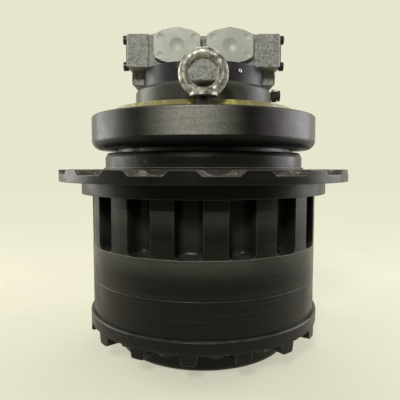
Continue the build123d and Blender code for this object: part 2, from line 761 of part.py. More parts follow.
def floating_seal():
    """Lower ring and cord, turning with the hub, and upper ring and cord, held by the spindle."""
    middle = (hub_top + frame_flange_z) / 2
    low = middle - GAP / 2 - SEAL_RING_HEIGHT
    lower = seal_ring(low)
    cord_circle = seal_recess_radius - SEAL_CORD - FIT
    cord_z = low + SEAL_CORD
    cord = revolve(Plane.XZ * Pos(cord_circle, cord_z) * Circle(SEAL_CORD), Axis.Z)
    flip = Pos(0, 0, 2 * middle) * Rot(180, 0, 0)
    return lower, cord, flip * lower, flip * cord


def seal_pocket_top():
    """Height of the spindle's recess for the upper seal ring."""
    middle = (hub_top + frame_flange_z) / 2
    return middle + GAP / 2 + SEAL_RING_HEIGHT + GAP


def spindle():
    """Fixed side: splined nose, bearing journals, frame flange with pilot, and motor housing."""
    seat = SHAFT_RADIUS + SHAFT_SEAL_WALL
    bearing = SHAFT_RADIUS + SHAFT_BEARING_WALL
    seat_z = cavity_floor - SHAFT_BEARING_WIDTH
    seal_z = seat_z - SHAFT_SEAL_HEIGHT
    pocket_top = seal_pocket_top()
    body = turned(
        [
            (SHAFT_RADIUS + END_GAP, plate_2_upper_z),
            (NOSE_RADIUS - 2 * NOSE_SPLINE_DEPTH, plate_2_upper_z),
            (NOSE_RADIUS - 2 * NOSE_SPLINE_DEPTH, nut_z),
            (thread_radius, nut_z),
            (thread_radius, bearing_1_z),
            (journal_radius, bearing_1_z),
            (journal_radius, bearing_2_top),
            (shoulder_radius, bearing_2_top),
            (shoulder_radius, pocket_top),
            (seal_recess_radius, pocket_top),
            (seal_recess_radius, frame_flange_z),
            (frame_flange_radius, frame_flange_z),
            (frame_flange_radius, frame_face_z),
            (pilot_radius, frame_face_z),
            (pilot_radius, pilot_top),
            (motor_ring_radius, pilot_top),
            (motor_ring_radius, case_top),
            (cavity_radius, case_top),
            (cavity_radius, cavity_floor),
            (bearing, cavity_floor),
            (bearing, seat_z),
            (seat, seat_z),
            (seat, seal_z),
            (SHAFT_RADIUS + END_GAP, seal_z),
        ],
        {11: FRAME_UNDERSIDE_ROUND, 12: FRAME_EDGE_ROUND, 16: MOTOR_RING_ROUND},
    )
    splines = spline_shaft(NOSE_SPLINES, NOSE_RADIUS, NOSE_SPLINE_DEPTH, plate_2_upper_z, nut_z)
    body += splines - rod(NOSE_RADIUS / 2, plate_2_upper_z - OVERRUN, nut_z + OVERRUN)
    bolt_hole = rod(FRAME_BOLT_RADIUS, frame_face_z - FRAME_BOLT_DEPTH, frame_face_z + OVERRUN)
    body -= around(FRAME_BOLTS, 180 / FRAME_BOLTS, Pos(frame_bolt_circle, 0, 0) * bolt_hole)
    eye_hole = rod(EYE_THREAD_RADIUS + FIT, frame_face_z - EYE_THREAD_DEPTH, frame_face_z + OVERRUN)
    body -= around(2, -90, Pos(frame_bolt_circle, 0, 0) * eye_hole)
    case_hole = rod(CASE_BOLT_RADIUS + FIT, case_top - CASE_BOLT_DEPTH, case_top + OVERRUN)
    body -= [place * case_hole for place in case_bolt_places()]
    speed_hole = rod(SPEED_PISTON_RADIUS + GAP, cavity_floor - SPEED_PISTON_DEPTH, cavity_floor + OVERRUN)
    body -= Pos(0, -speed_arm, 0) * speed_hole
    return body - drain_place() * rod(DRAIN_STUD_RADIUS + FIT, -DRAIN_STUD_LENGTH, DRAIN_LENGTH)


def drain_place():
    """Case drain seat on the side of the motor ring, facing outwards."""
    return Pos(motor_ring_radius, 0, case_top - DRAIN_DROP) * Rot(0, 90, 0)


def drain_fitting():
    """Hex adapter with a lipped end for the case drain hose."""
    hexagon = hex_bar(DRAIN_HEX, DRAIN_COLLAR_LENGTH, DRAIN_HEX_LENGTH)
    body = rod(DRAIN_HOSE_RADIUS, DRAIN_HEX_LENGTH - FIT, DRAIN_LENGTH)
    lip = rod(DRAIN_HEX / 2, DRAIN_LENGTH - DRAIN_LIP, DRAIN_LENGTH)
    collar = rod(DRAIN_COLLAR, 0, DRAIN_COLLAR_LENGTH + FIT)
    stud = rod(DRAIN_STUD_RADIUS, FIT - DRAIN_STUD_LENGTH, FIT)
    return drain_place() * (hexagon + collar + body + lip + stud)


def lifting_eye():
    """Forged eye bolt, its ring facing the front."""
    collar_z = pilot_top + GAP
    collar_top = collar_z + EYE_COLLAR_HEIGHT
    ring_centre = collar_z + EYE_RING_RADIUS + EYE_STOCK_RADIUS - EYE_RING_SINK
    torus = Pos(0, 0, ring_centre) * Rot(90, 0, 0) * Torus(EYE_RING_RADIUS, EYE_STOCK_RADIUS)
    torus -= rod(2 * EYE_COLLAR_RADIUS, collar_z - EYE_STOCK_RADIUS, collar_z)
    shank = rod(EYE_THREAD_RADIUS, frame_face_z - EYE_THREAD_DEPTH + FIT, collar_z)
    collar = turned(
        [
            (0, collar_z),
            (EYE_COLLAR_RADIUS, collar_z),
            (EYE_COLLAR_RADIUS, collar_z + EYE_COLLAR_HEIGHT / 2),
            (EYE_NECK_RADIUS, collar_top + END_GAP),
            (0, collar_top + END_GAP),
        ]
    )
    return torus + collar + shank


def lifting_eyes():
    """One eye at the front and one at the back."""
    return around(2, -90, Pos(frame_bolt_circle, 0, 0) * Rot(0, 0, 90) * lifting_eye())


def planet(teeth, circle, low, high, angle, first):
    """Planet gear on its own circle, with first the angle of one of its teeth."""
    blank = gear(teeth, low, high, first) - rod(planet_bore, low - OVERRUN, high + OVERRUN)
    centre = math.radians(angle)
    return Pos(circle * math.cos(centre), circle * math.sin(centre), 0) * blank


def planets(teeth, circle, low, high, first_angle):
    """Three planets, each with a tooth pointing outwards into a space of the ring gear."""
    angles = [first_angle + 360 / PLANETS * i for i in range(PLANETS)]
    return [planet(teeth, circle, low, high, a, a) for a in angles]


def planet_rollers(circle, low, high, first_angle):
    """Rollers round each planet's pin."""
    track = PIN_RADIUS + PLANET_ROLLER_RADIUS + FIT
    count = int(2 * math.pi * track / (2 * PLANET_ROLLER_RADIUS + GAP))
    roller = rod(PLANET_ROLLER_RADIUS, low + END_GAP, high - END_GAP)
    cluster = around(count, 0, Pos(track, 0, 0) * roller)
    rollers = []
    for i in range(PLANETS):
        place = Rot(0, 0, first_angle + 360 / PLANETS * i) * Pos(circle, 0, 0)
        rollers += [place * shape for shape in cluster]
    return rollers


def planet_pins(circle, low, high, first_angle):
    """Pins pressed into both carrier plates."""
    return around(PLANETS, first_angle, Pos(circle, 0, 0) * rod(PIN_RADIUS, low, high))


def carrier(low, lower_top, upper_low, high, circle, first_angle):
    """Two plates joined by webs between the planets, bored for the pins."""
    body = rod(plate_radius, low, lower_top) + rod(plate_radius, upper_low, high)
    web = Pos((WEB_INNER + plate_radius - END_GAP) / 2, 0, (low + high) / 2) * Box(
        plate_radius - END_GAP - WEB_INNER, WEB_WIDTH, high - low
    )
    body += around(PLANETS, first_angle + 180 / PLANETS, web)
    hole = rod(PIN_RADIUS + FIT, low - OVERRUN, high + OVERRUN)
    return body - around(PLANETS, first_angle, Pos(circle, 0, 0) * hole)


def carrier_1():
    """First-stage carrier, splined to the second sun."""
    heights = (plate_1_lower_z, planet_1_z - END_GAP, plate_1_upper_z, plate_1_upper_top)
    body = carrier(*heights, planet_1_circle, TRAIN_ANGLE)
    body -= rod(CARRIER_BORE, plate_1_lower_z - OVERRUN, plate_1_upper_z - OVERRUN)
    socket = spline_shaft(
        SUN_2_SPLINES,
        SUN_2_SPLINE_RADIUS,
        SUN_2_SPLINE_DEPTH,
        plate_1_upper_z - 2 * OVERRUN,
        plate_1_upper_top + OVERRUN,
        FIT,
    )
    return body - socket


def carrier_2():
    """Second-stage carrier, splined to the spindle's nose and so held still."""
    heights = (plate_2_lower_z, planet_2_z - END_GAP, plate_2_upper_z, plate_2_upper_top)
    body = carrier(*heights, planet_2_circle, train_angle_2)
    sun_tip = MODULE * SUN_2_TEETH / 2 + ADDENDUM_SHARE * MODULE
    body -= rod(sun_tip + END_GAP, plate_2_lower_z - OVERRUN, plate_2_upper_z - OVERRUN)
    socket = spline_shaft(
        NOSE_SPLINES,
        NOSE_RADIUS,
        NOSE_SPLINE_DEPTH,
        plate_2_upper_z - 2 * OVERRUN,
        plate_2_upper_top + OVERRUN,
        FIT,
    )
    return body - socket


def sun_1():
    """First sun on a long shaft that is splined into the motor shaft."""
    first = TRAIN_ANGLE
    teeth = gear(SUN_1_TEETH, planet_1_z - END_GAP, planet_1_top + END_GAP, first)
    pad_top = plate_1_lower_z - END_GAP + THRUST_PAD_HEIGHT
    stub = rod(SUN_1_SHAFT_RADIUS, pad_top + GAP, planet_1_z)
    shaft = rod(SUN_1_SHAFT_RADIUS, planet_1_top, shaft_low() - FIT)
    spline = spline_shaft(
        SUN_1_SPLINES, SUN_1_SHAFT_RADIUS, SUN_1_SPLINE_DEPTH, shaft_low() - OVERRUN, socket_top() - END_GAP
    )
    return teeth + stub + shaft + spline


def sun_2():
    """Second sun, hollow for the first sun's shaft."""
    first = train_angle_2 + 180 / SUN_2_TEETH
    teeth = gear(SUN_2_TEETH, plate_2_lower_z, planet_2_top, first)
    spline = spline_shaft(
        SUN_2_SPLINES, SUN_2_SPLINE_RADIUS, SUN_2_SPLINE_DEPTH, plate_1_upper_z, plate_2_lower_z
    )
    return teeth + spline - rod(SUN_2_BORE, plate_1_upper_z - OVERRUN, planet_2_top + OVERRUN)


def shaft_low():
    """Lower end of the motor shaft, just inside the spindle's nose."""
    return plate_2_upper_z + END_GAP


def socket_top():
    """Top of the motor shaft's splined socket."""
    return plate_2_upper_top


def motor_shaft():
    """Shaft with a splined socket below, a long spline for the block and a plain rear journal."""
    low, high = shaft_low(), case_top - END_GAP
    body = rod(SHAFT_RADIUS - GAP, low, block_z) + rod(SHAFT_RADIUS - SHAFT_SPLINE_DEPTH - GAP, block_z, high)
    body += spline_shaft(
        SHAFT_SPLINES, SHAFT_RADIUS - FIT, SHAFT_SPLINE_DEPTH, block_z + END_GAP, block_top - END_GAP
    )
    socket = spline_shaft(
        SUN_1_SPLINES, SUN_1_SHAFT_RADIUS, SUN_1_SPLINE_DEPTH, low - OVERRUN, socket_top(), FIT
    )
    return body - socket


def shaft_bearing(low, inner, outer):
    """Ball bearing's inner race, balls and outer race."""
    high = low + SHAFT_BEARING_WIDTH
    middle, third = (inner + outer) / 2, (outer - inner) / 3
    groove = revolve(Plane.XZ * Pos(middle, (low + high) / 2) * Circle(SHAFT_BALL_RADIUS + FIT), Axis.Z)
    races = [ring(inner, inner + third, low, high) - groove, ring(outer - third, outer, low, high) - groove]
    balls = around(SHAFT_BALLS, 0, Pos(middle, 0, (low + high) / 2) * Sphere(SHAFT_BALL_RADIUS))
    return races[0], balls, races[1]


def shaft_seal():
    """Lip seal between the motor and the gear case."""
    high = cavity_floor - SHAFT_BEARING_WIDTH
    low = high - SHAFT_SEAL_HEIGHT
    outer = SHAFT_RADIUS + SHAFT_SEAL_WALL - FIT
    return turned(
        [
            (SHAFT_RADIUS, low),
            (outer, low),
            (outer, high - END_GAP),
            (outer - END_GAP, high - END_GAP),
            (outer - END_GAP, low + END_GAP),
            (SHAFT_RADIUS + END_GAP, low + END_GAP),
            (SHAFT_RADIUS, high - 2 * END_GAP),
        ]
    )


def tilted(shape):
    """A shape turned about the swash plate's own axis by its tilt."""
    return Pos(0, 0, swash_z) * Rot(SWASH_TILT, 0, 0) * shape


def swash_plate():
    """Tilting plate whose rounded back lies in two cradles."""
    disc = tilted(rod(SWASH_RADIUS, -SWASH_THICKNESS, 0))
    back = Pos(0, 0, swash_z) * Rot(0, 90, 0) * Cylinder(CRADLE_RADIUS, 2 * SWASH_RADIUS)
    saddle = back & tilted(rod(SWASH_RADIUS, -2 * CRADLE_RADIUS, 0))
    hole = rod(SHAFT_RADIUS + SWASH_HOLE_MARGIN, cavity_floor, swash_z + SWASH_RADIUS)
    return disc + saddle - hole


def swash_cradles():
    """Two half-round bearing blocks on the floor of the motor housing."""
    height = CRADLE_RADIUS * CRADLE_HEIGHT_SHARE
    middle = CRADLE_INNER + CRADLE_WIDTH / 2
    depth = CRADLE_RADIUS * CRADLE_DEPTH_SHARE
    block = Pos(middle, 0, cavity_floor + height / 2) * Box(CRADLE_WIDTH, depth, height)
    back = Pos(0, 0, swash_z) * Rot(0, 90, 0) * Cylinder(CRADLE_RADIUS + GAP, 4 * SWASH_RADIUS)
    return around(2, 0, block - back)


def speed_piston():
    """Small piston that turns the swash plate to its second angle."""
    tilt = math.radians(SWASH_TILT)
    reach = (speed_arm + SPEED_PISTON_RADIUS) * math.tan(tilt)
    top = swash_z - reach - SWASH_THICKNESS / math.cos(tilt) - GAP
    low = cavity_floor - SPEED_PISTON_DEPTH + GAP
    return Pos(0, -speed_arm, 0) * rod(SPEED_PISTON_RADIUS, low, top)


def cylinder_block():
    """Block with nine bores, kidney ports and an outer spline for the brake plates."""
    body = rod(BLOCK_RADIUS - BLOCK_SPLINE_DEPTH - GAP, block_z, block_top)
    spline_top = brake_piston_top
    body += spline_shaft(BLOCK_SPLINES, BLOCK_RADIUS, BLOCK_SPLINE_DEPTH, block_z, spline_top)
    bore = rod(PISTON_RADIUS + FIT, block_z - OVERRUN, block_top - 2 * END_GAP - PISTON_RADIUS)
    body -= around(PISTONS, 0, Pos(PISTON_CIRCLE, 0, 0) * bore)
    kidney = rod(KIDNEY_WIDTH / 2, block_top - 2 * END_GAP - 2 * PISTON_RADIUS, block_top + OVERRUN)
    body -= around(PISTONS, 0, Pos(PISTON_CIRCLE, 0, 0) * kidney)
    socket = spline_shaft(
        SHAFT_SPLINES, SHAFT_RADIUS, SHAFT_SPLINE_DEPTH, block_z - OVERRUN, block_top + OVERRUN, FIT
    )
    return body - socket


def pistons():
    """Nine pistons with their slippers, drawn at the middle of their stroke."""
    top = slipper_z + SLIPPER_HEIGHT
    neck = PISTON_RADIUS * PISTON_NECK_SHARE
    piston = rod(PISTON_RADIUS, top + PISTON_RADIUS, top + PISTON_LENGTH)
    piston += rod(neck, slipper_z + SLIPPER_HEIGHT / 2, top + PISTON_RADIUS)
    slipper = rod(SLIPPER_RADIUS, slipper_z, retainer_z - FIT) + rod(PISTON_RADIUS - FIT, slipper_z, top)
    return around(PISTONS, 0, Pos(PISTON_CIRCLE, 0, 0) * (piston + slipper))


def retainer_plate():
    """Plate that holds the slippers to the swash plate."""
    top = retainer_z + RETAINER_THICKNESS
    plate = ring(SHAFT_RADIUS + END_GAP, PISTON_CIRCLE + SLIPPER_RADIUS, retainer_z, top)
    hole = rod(PISTON_RADIUS + FIT, retainer_z - OVERRUN, top + OVERRUN)
    ball = ring(SHAFT_RADIUS + FIT, SHAFT_RADIUS + END_GAP, retainer_z, block_z - FIT)
    return plate - around(PISTONS, 0, Pos(PISTON_CIRCLE, 0, 0) * hole) + ball


def valve_plate():
    """Port plate with two kidney slots, pinned to the motor cover."""
    plate = ring(SHAFT_RADIUS + END_GAP, BLOCK_RADIUS - BLOCK_SPLINE_DEPTH, valve_plate_z, motor_cover_z)
    half = KIDNEY_WIDTH / 2
    sector = Pos(0, 0, valve_plate_z) * Box(
        4 * BLOCK_RADIUS, KIDNEY_LAND, 4 * VALVE_PLATE_THICKNESS
    )
    slots = ring(PISTON_CIRCLE - half, PISTON_CIRCLE + half, valve_plate_z - OVERRUN, motor_cover_z + OVERRUN)
    return plate - (slots - sector)


def brake_plates():
    """Steel plates held by the housing and friction plates on the block's spline."""
    inner = BLOCK_RADIUS + END_GAP
    outer = cavity_radius - END_GAP - FIT
    reach = (outer - inner) / 2
    steel, friction = [], []
    for layer in range(2 * BRAKE_FRICTION_PLATES + 1):
        low = brake_z + layer * brake_pitch
        high = low + BRAKE_PLATE_THICKNESS
        if layer % 2 == 0:
            steel.append(ring(inner + reach / 3, cavity_radius - FIT, low, high))
        else:
            socket = spline_shaft(
                BLOCK_SPLINES, BLOCK_RADIUS, BLOCK_SPLINE_DEPTH, low - OVERRUN, high + OVERRUN, FIT
            )
            friction.append(rod(outer - reach / 3, low, high) - socket)
    return steel, friction


def brake_piston():
    """Stepped annular piston, pushed on by springs and lifted by oil."""
    step_z_brake = brake_piston_z + BRAKE_PISTON_HEIGHT / 2
    inner = BLOCK_RADIUS + END_GAP
    return turned(
        [
            (inner, brake_piston_z),
            (cavity_radius - END_GAP * 2, brake_piston_z),
            (cavity_radius - END_GAP * 2, step_z_brake),
            (cavity_radius - GAP, step_z_brake),
            (cavity_radius - GAP, brake_piston_top),
            (inner, brake_piston_top),
        ]
    )


def brake_springs():
    """Stack of disc springs between the brake piston and the motor cover."""
    inner = BLOCK_RADIUS + END_GAP + BRAKE_SPRING_INSET / 2
    outer = cavity_radius - BRAKE_SPRING_INSET / 2
    room = motor_cover_z - brake_piston_top - 2 * GAP
    each = room / BRAKE_SPRINGS
    blade = each * SPRING_BLADE_SHARE
    springs = []
    for i in range(BRAKE_SPRINGS):
        low = brake_piston_top + GAP + i * each
        rise = each - blade - FIT
        first, second = (low, low + rise) if i % 2 == 0 else (low + rise, low)
        springs.append(
            turned([(inner, first), (outer, second), (outer, second + blade), (inner, first + blade)])
        )
    return springs


def motor_cover():
    """Round cover with a spigot in the housing, a bore for the rear bearing and two small slots."""
    bearing = SHAFT_RADIUS - SHAFT_SPLINE_DEPTH + SHAFT_BEARING_WALL
    seat_z = rear_bearing_z()
    body = turned(
        [
            (SHAFT_RADIUS + END_GAP, motor_cover_z),
            (cavity_radius - FIT, motor_cover_z),
            (cavity_radius - FIT, case_top),
            (cover_ring_radius, case_top),
            (cover_ring_radius, valve_block_z),
            (0, valve_block_z),
            (0, case_top),
            (SHAFT_RADIUS + END_GAP, case_top),
            (SHAFT_RADIUS + END_GAP, seat_z + SHAFT_BEARING_WIDTH),
            (bearing, seat_z + SHAFT_BEARING_WIDTH),
            (bearing, seat_z),
            (SHAFT_RADIUS + END_GAP, seat_z),
        ]
    )
    slot = Pos(0, -cover_ring_radius, valve_block_z) * Box(COVER_NOTCH, 2 * COVER_NOTCH, 2 * COVER_NOTCH)
    body -= [Pos(side * PORT_SPACING / 2, 0, 0) * slot for side in (-1, 1)]
    body -= block_legs(GAP)
    bolt_hole = rod(CASE_BOLT_RADIUS + FIT, case_top - OVERRUN, valve_block_z + OVERRUN)
    return body - [place * bolt_hole for place in case_bolt_places()]


def rear_bearing_z():
    """Lower face of the rear shaft bearing, inside the motor cover."""
    return motor_cover_z + SHAFT_BEARING_WIDTH + END_GAP


def case_bolt_places():
    """Long bolts from the valve block's top down into the housing, two on each side."""
    circle = cavity_radius + CASE_BOLT_RADIUS + CASE_BOLT_MARGIN
    return [Rot(0, 0, a) * Pos(circle, 0, 0) for a in CASE_BOLT_ANGLES]


def block_legs(slack):
    """Front leg and two side legs beside the motor cover, grown by slack to cut its recesses."""
    front = motor_ring_radius - COVER_RING_STEP + FRONT_LEG_PROUD + slack
    side = motor_ring_radius + SIDE_LEG_REACH + slack
    height = COVER_RING_HEIGHT + 2 * slack
    middle_z = case_top + COVER_RING_HEIGHT / 2
    depth = front - BLOCK_FRONT + 3 * OVERRUN
    legs = [Pos(0, depth / 2 - front, middle_z) * Box(FRONT_LEG_WIDTH + 2 * slack, depth + slack, height)]
    width = SIDE_LEG_DEPTH + slack
    leg = Box(width, SIDE_LEG_WIDTH + 2 * slack, height - SIDE_LEG_LIFT)
    for sign in (-1, 1):
        legs.append(Pos(sign * (side - width / 2), 0, middle_z + SIDE_LEG_LIFT / 2) * leg)
    return legs


def passage_plug_places():
    """Seats of the passage plugs on the side legs and on the block's top, heads outwards."""
    side = motor_ring_radius + SIDE_LEG_REACH
    legs = [Pos(sign * side, 0, case_top + EAR_PLUG_HEIGHT) * Rot(0, 90 * sign, 0) for sign in (-1, 1)]
    top_y = BLOCK_BACK - TOP_PLUG_INSET
    return legs + [Pos(sign * TOP_PLUG_SPACING / 2, top_y, valve_block_top) for sign in (-1, 1)]


def passage_plugs():
    """Short socket plugs in the side legs and the block's top."""
    plug = cap_screw(EAR_PLUG_SHANK_RADIUS, EAR_PLUG_RADIUS, EAR_PLUG_HEAD, 2 * EAR_PLUG_HEAD - FIT)
    return [place * plug for place in passage_plug_places()]


def valve_block():
    """Cast block: ports in front, a spool bore across, relief valves behind and legs down the cover."""
    depth = BLOCK_FRONT + BLOCK_BACK
    centre_y = (BLOCK_BACK - BLOCK_FRONT) / 2
    centre_z = valve_block_z + BLOCK_HEIGHT / 2
    body = Pos(0, centre_y, centre_z) * Box(BLOCK_WIDTH, depth, BLOCK_HEIGHT)
    body = fillet(body.edges().filter_by(Axis.Y) + body.edges().filter_by(Axis.Z), BLOCK_ROUND)
    strip_x = BLOCK_WIDTH / 2 - BLOCK_WING_WIDTH - BLOCK_STRIP_WIDTH / 2
    strip = Box(BLOCK_STRIP_WIDTH, 2 * BLOCK_STRIP_DEPTH, BLOCK_HEIGHT + OVERRUN)
    body -= [Pos(side * strip_x, -BLOCK_FRONT, centre_z) * strip for side in (-1, 1)]
    recess = Box(BLOCK_RECESS_WIDTH, 2 * BLOCK_RECESS_DEPTH, BLOCK_HEIGHT + OVERRUN)
    body -= Pos(0, -BLOCK_FRONT, centre_z + OVERRUN) * recess
    body += block_legs(0)
    bolt_hole = rod(CASE_BOLT_RADIUS + FIT, valve_block_z - OVERRUN, valve_block_top + OVERRUN)
    sink = valve_block_top - CASE_BOLT_SINK
    head_room = rod(CASE_BOLT_HEAD_RADIUS + END_GAP, sink, valve_block_top + OVERRUN)
    body -= [place * bolt_hole for place in case_bolt_places()]
    body -= [place * head_room for place in case_bolt_places()]
    port = Rot(90, 0, 0) * rod(PORT_BORE, BLOCK_FRONT - PORT_DEPTH, BLOCK_FRONT + OVERRUN)
    screw = Rot(90, 0, 0) * rod(FLANGE_BOLT_RADIUS, BLOCK_FRONT - FLANGE_BOLT_DEPTH, BLOCK_FRONT + OVERRUN)
    for side in (-1, 1):
        centre = Pos(side * PORT_SPACING / 2, 0, port_z)
        body -= [centre * port] + [centre * Pos(x, 0, z) * screw for x, z in flange_bolt_places()]
    body -= Pos(0, SPOOL_INSET, spool_z) * Rot(0, 90, 0) * Cylinder(SPOOL_BORE, BLOCK_WIDTH + OVERRUN)
    side_hole = rod(SIDE_BOLT_RADIUS + FIT, -SIDE_BOLT_LENGTH, OVERRUN)
    body -= [place * side_hole for place in side_bolt_places()]
    plug_hole = rod(EAR_PLUG_SHANK_RADIUS + FIT, -2 * EAR_PLUG_HEAD, OVERRUN)
    body -= [place * plug_hole for place in passage_plug_places()]
    relief = Rot(-90, 0, 0) * rod(RELIEF_RADIUS + FIT, BLOCK_BACK - RELIEF_LENGTH, BLOCK_BACK + OVERRUN)
    body -= [Pos(x, 0, spool_z) * relief for x in relief_places()]
    return body


def relief_places():
    """X positions of the two relief valves."""
    return [side * RELIEF_SPACING / 2 for side in (-1, 1)]


def relief_valves():
    """Two cross-port relief cartridges at the back."""
    hexagon = hex_bar(RELIEF_HEX, 0, RELIEF_HEAD)
    stem = rod(RELIEF_RADIUS / 2, 0, RELIEF_HEAD + RELIEF_STEM)
    body = hexagon + rod(RELIEF_RADIUS, FIT - RELIEF_LENGTH, 0) + stem
    return [Pos(x, BLOCK_BACK, spool_z) * Rot(-90, 0, 0) * body for x in relief_places()]


def side_bolt_places():
    """Seats of the side bolts on the block's two sides, heads outwards."""
    places = []
    for side in (-1, 1):
        for across in (-1, 1):
            for up in (-1, 1):
                spot = Pos(
                    side * BLOCK_WIDTH / 2,
                    (BLOCK_BACK - BLOCK_FRONT) / 2 + across * SIDE_BOLT_DEPTH_SPAN / 2,
                    spool_z + up * SIDE_BOLT_HEIGHT_SPAN / 2,
                )
                places.append(spot * Rot(0, 90 * side, 0))
    return places


def side_plate(side):
    """Cover plate over one end of the spool bore."""
    centre = Pos(side * (BLOCK_WIDTH + SIDE_PLATE_THICKNESS) / 2, (BLOCK_BACK - BLOCK_FRONT) / 2, spool_z)
    plate = centre * Box(SIDE_PLATE_THICKNESS, SIDE_BOLT_DEPTH_SPAN, SIDE_PLATE_HEIGHT)
    room = rod(SIDE_BOLT_HEAD_RADIUS + 2 * GAP, -OVERRUN, SIDE_BOLT_HEAD)
    return plate - [place * room for place in side_bolt_places()]


def side_plate_bolts():
    """Cap screws that hold the side plates by their corners."""
    screw = cap_screw(SIDE_BOLT_RADIUS, SIDE_BOLT_HEAD_RADIUS, SIDE_BOLT_HEAD, SIDE_BOLT_LENGTH - FIT)
    return [place * screw for place in side_bolt_places()]


def counterbalance_spool():
    """Sliding spool with three lands."""
    half = BLOCK_WIDTH / 2 - SPOOL_TRAVEL - 2 * GAP - SPOOL_LAND
    spool = rod(SPOOL_NECK, -half, half)
    for place in (-half, 0, half):
        spool += rod(SPOOL_BORE - GAP, place - SPOOL_LAND, place + SPOOL_LAND)
    return Pos(0, SPOOL_INSET, spool_z) * Rot(0, 90, 0) * spool


def dish(radius, depth):
    """Ball that cuts a shallow dimple of this radius and depth into a port cap's face."""
    ball = (radius**2 + depth**2) / (2 * depth)
    return Pos(0, 0, CAP_THICKNESS - depth + ball) * Sphere(ball)


def flange_bolt_places():
    """The four bolts of an oil flange, from the port's centre."""
    return [(a * FLANGE_BOLT_LONG / 2, b * FLANGE_BOLT_SHORT / 2) for a in (-1, 1) for b in (-1, 1)]


def port_cap(side):
    """Transport cover of one oil port: rounded plate with raised apexes and a central dimple."""
    half_w, half_h = CAP_WIDTH / 2, CAP_HEIGHT / 2
    right = [
        (0, half_h),
        (CAP_APEX_WIDTH / 2, half_h - CAP_SHOULDER),
        (half_w, half_h - CAP_CORNER),
        (half_w, CAP_CORNER - half_h),
        (CAP_APEX_WIDTH / 2, CAP_SHOULDER - half_h),
        (0, -half_h),
    ]
    left = [(-x, z) for x, z in reversed(right[1:-1])]
    face = make_face(Polyline(*right, *left, close=True))
    face = fillet(face.vertices(), CAP_ROUND)
    plate = extrude(face, CAP_THICKNESS)
    plate -= dish(CAP_DIMPLE_RADIUS, CAP_DIMPLE_DEPTH)
    plate -= [Pos(x, z, 0) * dish(CAP_SPOT_RADIUS, CAP_SPOT_DEPTH) for x, z in flange_bolt_places()]
    return Pos(side * PORT_SPACING / 2, -BLOCK_FRONT, port_z) * Rot(90, 0, 0) * plate


def case_bolts():
    """Long cap screws that hold the valve block and the motor cover to the housing."""
    seat = valve_block_top - CASE_BOLT_SINK
    length = seat - case_top + CASE_BOLT_DEPTH - FIT
    screw = cap_screw(CASE_BOLT_RADIUS, CASE_BOLT_HEAD_RADIUS, CASE_BOLT_HEAD, length)
    lift = Pos(0, 0, seat)
    return [place * lift * screw for place in case_bolt_places()]


def build():
    """Make and write every node."""
    write("end_cover", end_cover())
    write("end_cover_bolts", cover_bolts())
    write("oil_plugs", oil_plugs())
    write("thrust_pad", thrust_pad())
    write("ring_gear", ring_gear())
    write("hub", hub())
    write("hub_bolts", hub_bolts())
    write("spindle", spindle())
    write("lifting_eyes", lifting_eyes())
    write("drain_fitting", drain_fitting())
    write("retainer_nut", retainer_nut())
    cages = []
    for name, low, upper in (("lower", bearing_1_z, False), ("upper", bearing_2_z, True)):
        inner, rollers, cage, outer = main_bearing(low, upper)
        write(f"{name}_bearing_inner_race", inner)
        write(f"{name}_bearing_rollers", rollers)
        write(f"{name}_bearing_outer_race", outer)
        cages.append(cage)
    write("bearing_cages", cages)
    lower_seal, lower_cord, upper_seal, upper_cord = floating_seal()
    write("seal_ring_lower", lower_seal)
    write("seal_cord_lower", lower_cord)
    write("seal_ring_upper", upper_seal)
    write("seal_cord_upper", upper_cord)
    write("carrier_1", carrier_1())
    write("carrier_1_pins", planet_pins(planet_1_circle, plate_1_lower_z, plate_1_upper_top, TRAIN_ANGLE))
    write("carrier_1_rollers", planet_rollers(planet_1_circle, planet_1_z, planet_1_top, TRAIN_ANGLE))
    write("carrier_2", carrier_2())
    write("carrier_2_pins", planet_pins(planet_2_circle, plate_2_lower_z, plate_2_upper_top, train_angle_2))
    write("carrier_2_rollers", planet_rollers(planet_2_circle, planet_2_z, planet_2_top, train_angle_2))
    for letter, shape in zip(
        "abc", planets(planet_1_teeth, planet_1_circle, planet_1_z, planet_1_top, TRAIN_ANGLE)
    ):
        write(f"planet_1{letter}", shape)
    for letter, shape in zip(
        "abc", planets(planet_2_teeth, planet_2_circle, planet_2_z, planet_2_top, train_angle_2)
    ):
        write(f"planet_2{letter}", shape)
    write("sun_gear_1", sun_1())
    write("sun_gear_2", sun_2())
    write("motor_shaft", motor_shaft())
    inner, balls, outer = shaft_bearing(
        cavity_floor - SHAFT_BEARING_WIDTH, SHAFT_RADIUS, SHAFT_RADIUS + SHAFT_BEARING_WALL - FIT
    )
    write("front_shaft_bearing", [inner, *balls, outer])
    rear_inner = SHAFT_RADIUS - SHAFT_SPLINE_DEPTH
    rear_outer = rear_inner + SHAFT_BEARING_WALL - FIT
    inner, balls, outer = shaft_bearing(rear_bearing_z(), rear_inner + GAP, rear_outer)
    write("rear_shaft_bearing", [inner, *balls, outer])
    write("shaft_seal", shaft_seal())
    write("swash_plate", swash_plate())
    write("swash_cradles", swash_cradles())
    write("speed_piston", speed_piston())
    write("cylinder_block", cylinder_block())
    write("pistons", pistons())
    write("retainer_plate", retainer_plate())
    write("valve_plate", valve_plate())
    steel, friction = brake_plates()
    write("brake_steel_plates", steel)
    write("brake_friction_plates", friction)
    write("brake_piston", brake_piston())
    write("brake_springs", brake_springs())
    write("motor_cover", motor_cover())
    write("valve_block", valve_block())
    write("case_bolts", case_bolts())
    write("passage_plugs", passage_plugs())
    write("relief_valves", relief_valves())
    write("side_plates", [side_plate(-1), side_plate(1)])
    write("side_plate_bolts", side_plate_bolts())
    write("counterbalance_spool", counterbalance_spool())
    write("port_caps", [port_cap(-1), port_cap(1)])


build()
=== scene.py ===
import json
import math

import bmesh
import bpy
from mathutils import Matrix, Vector

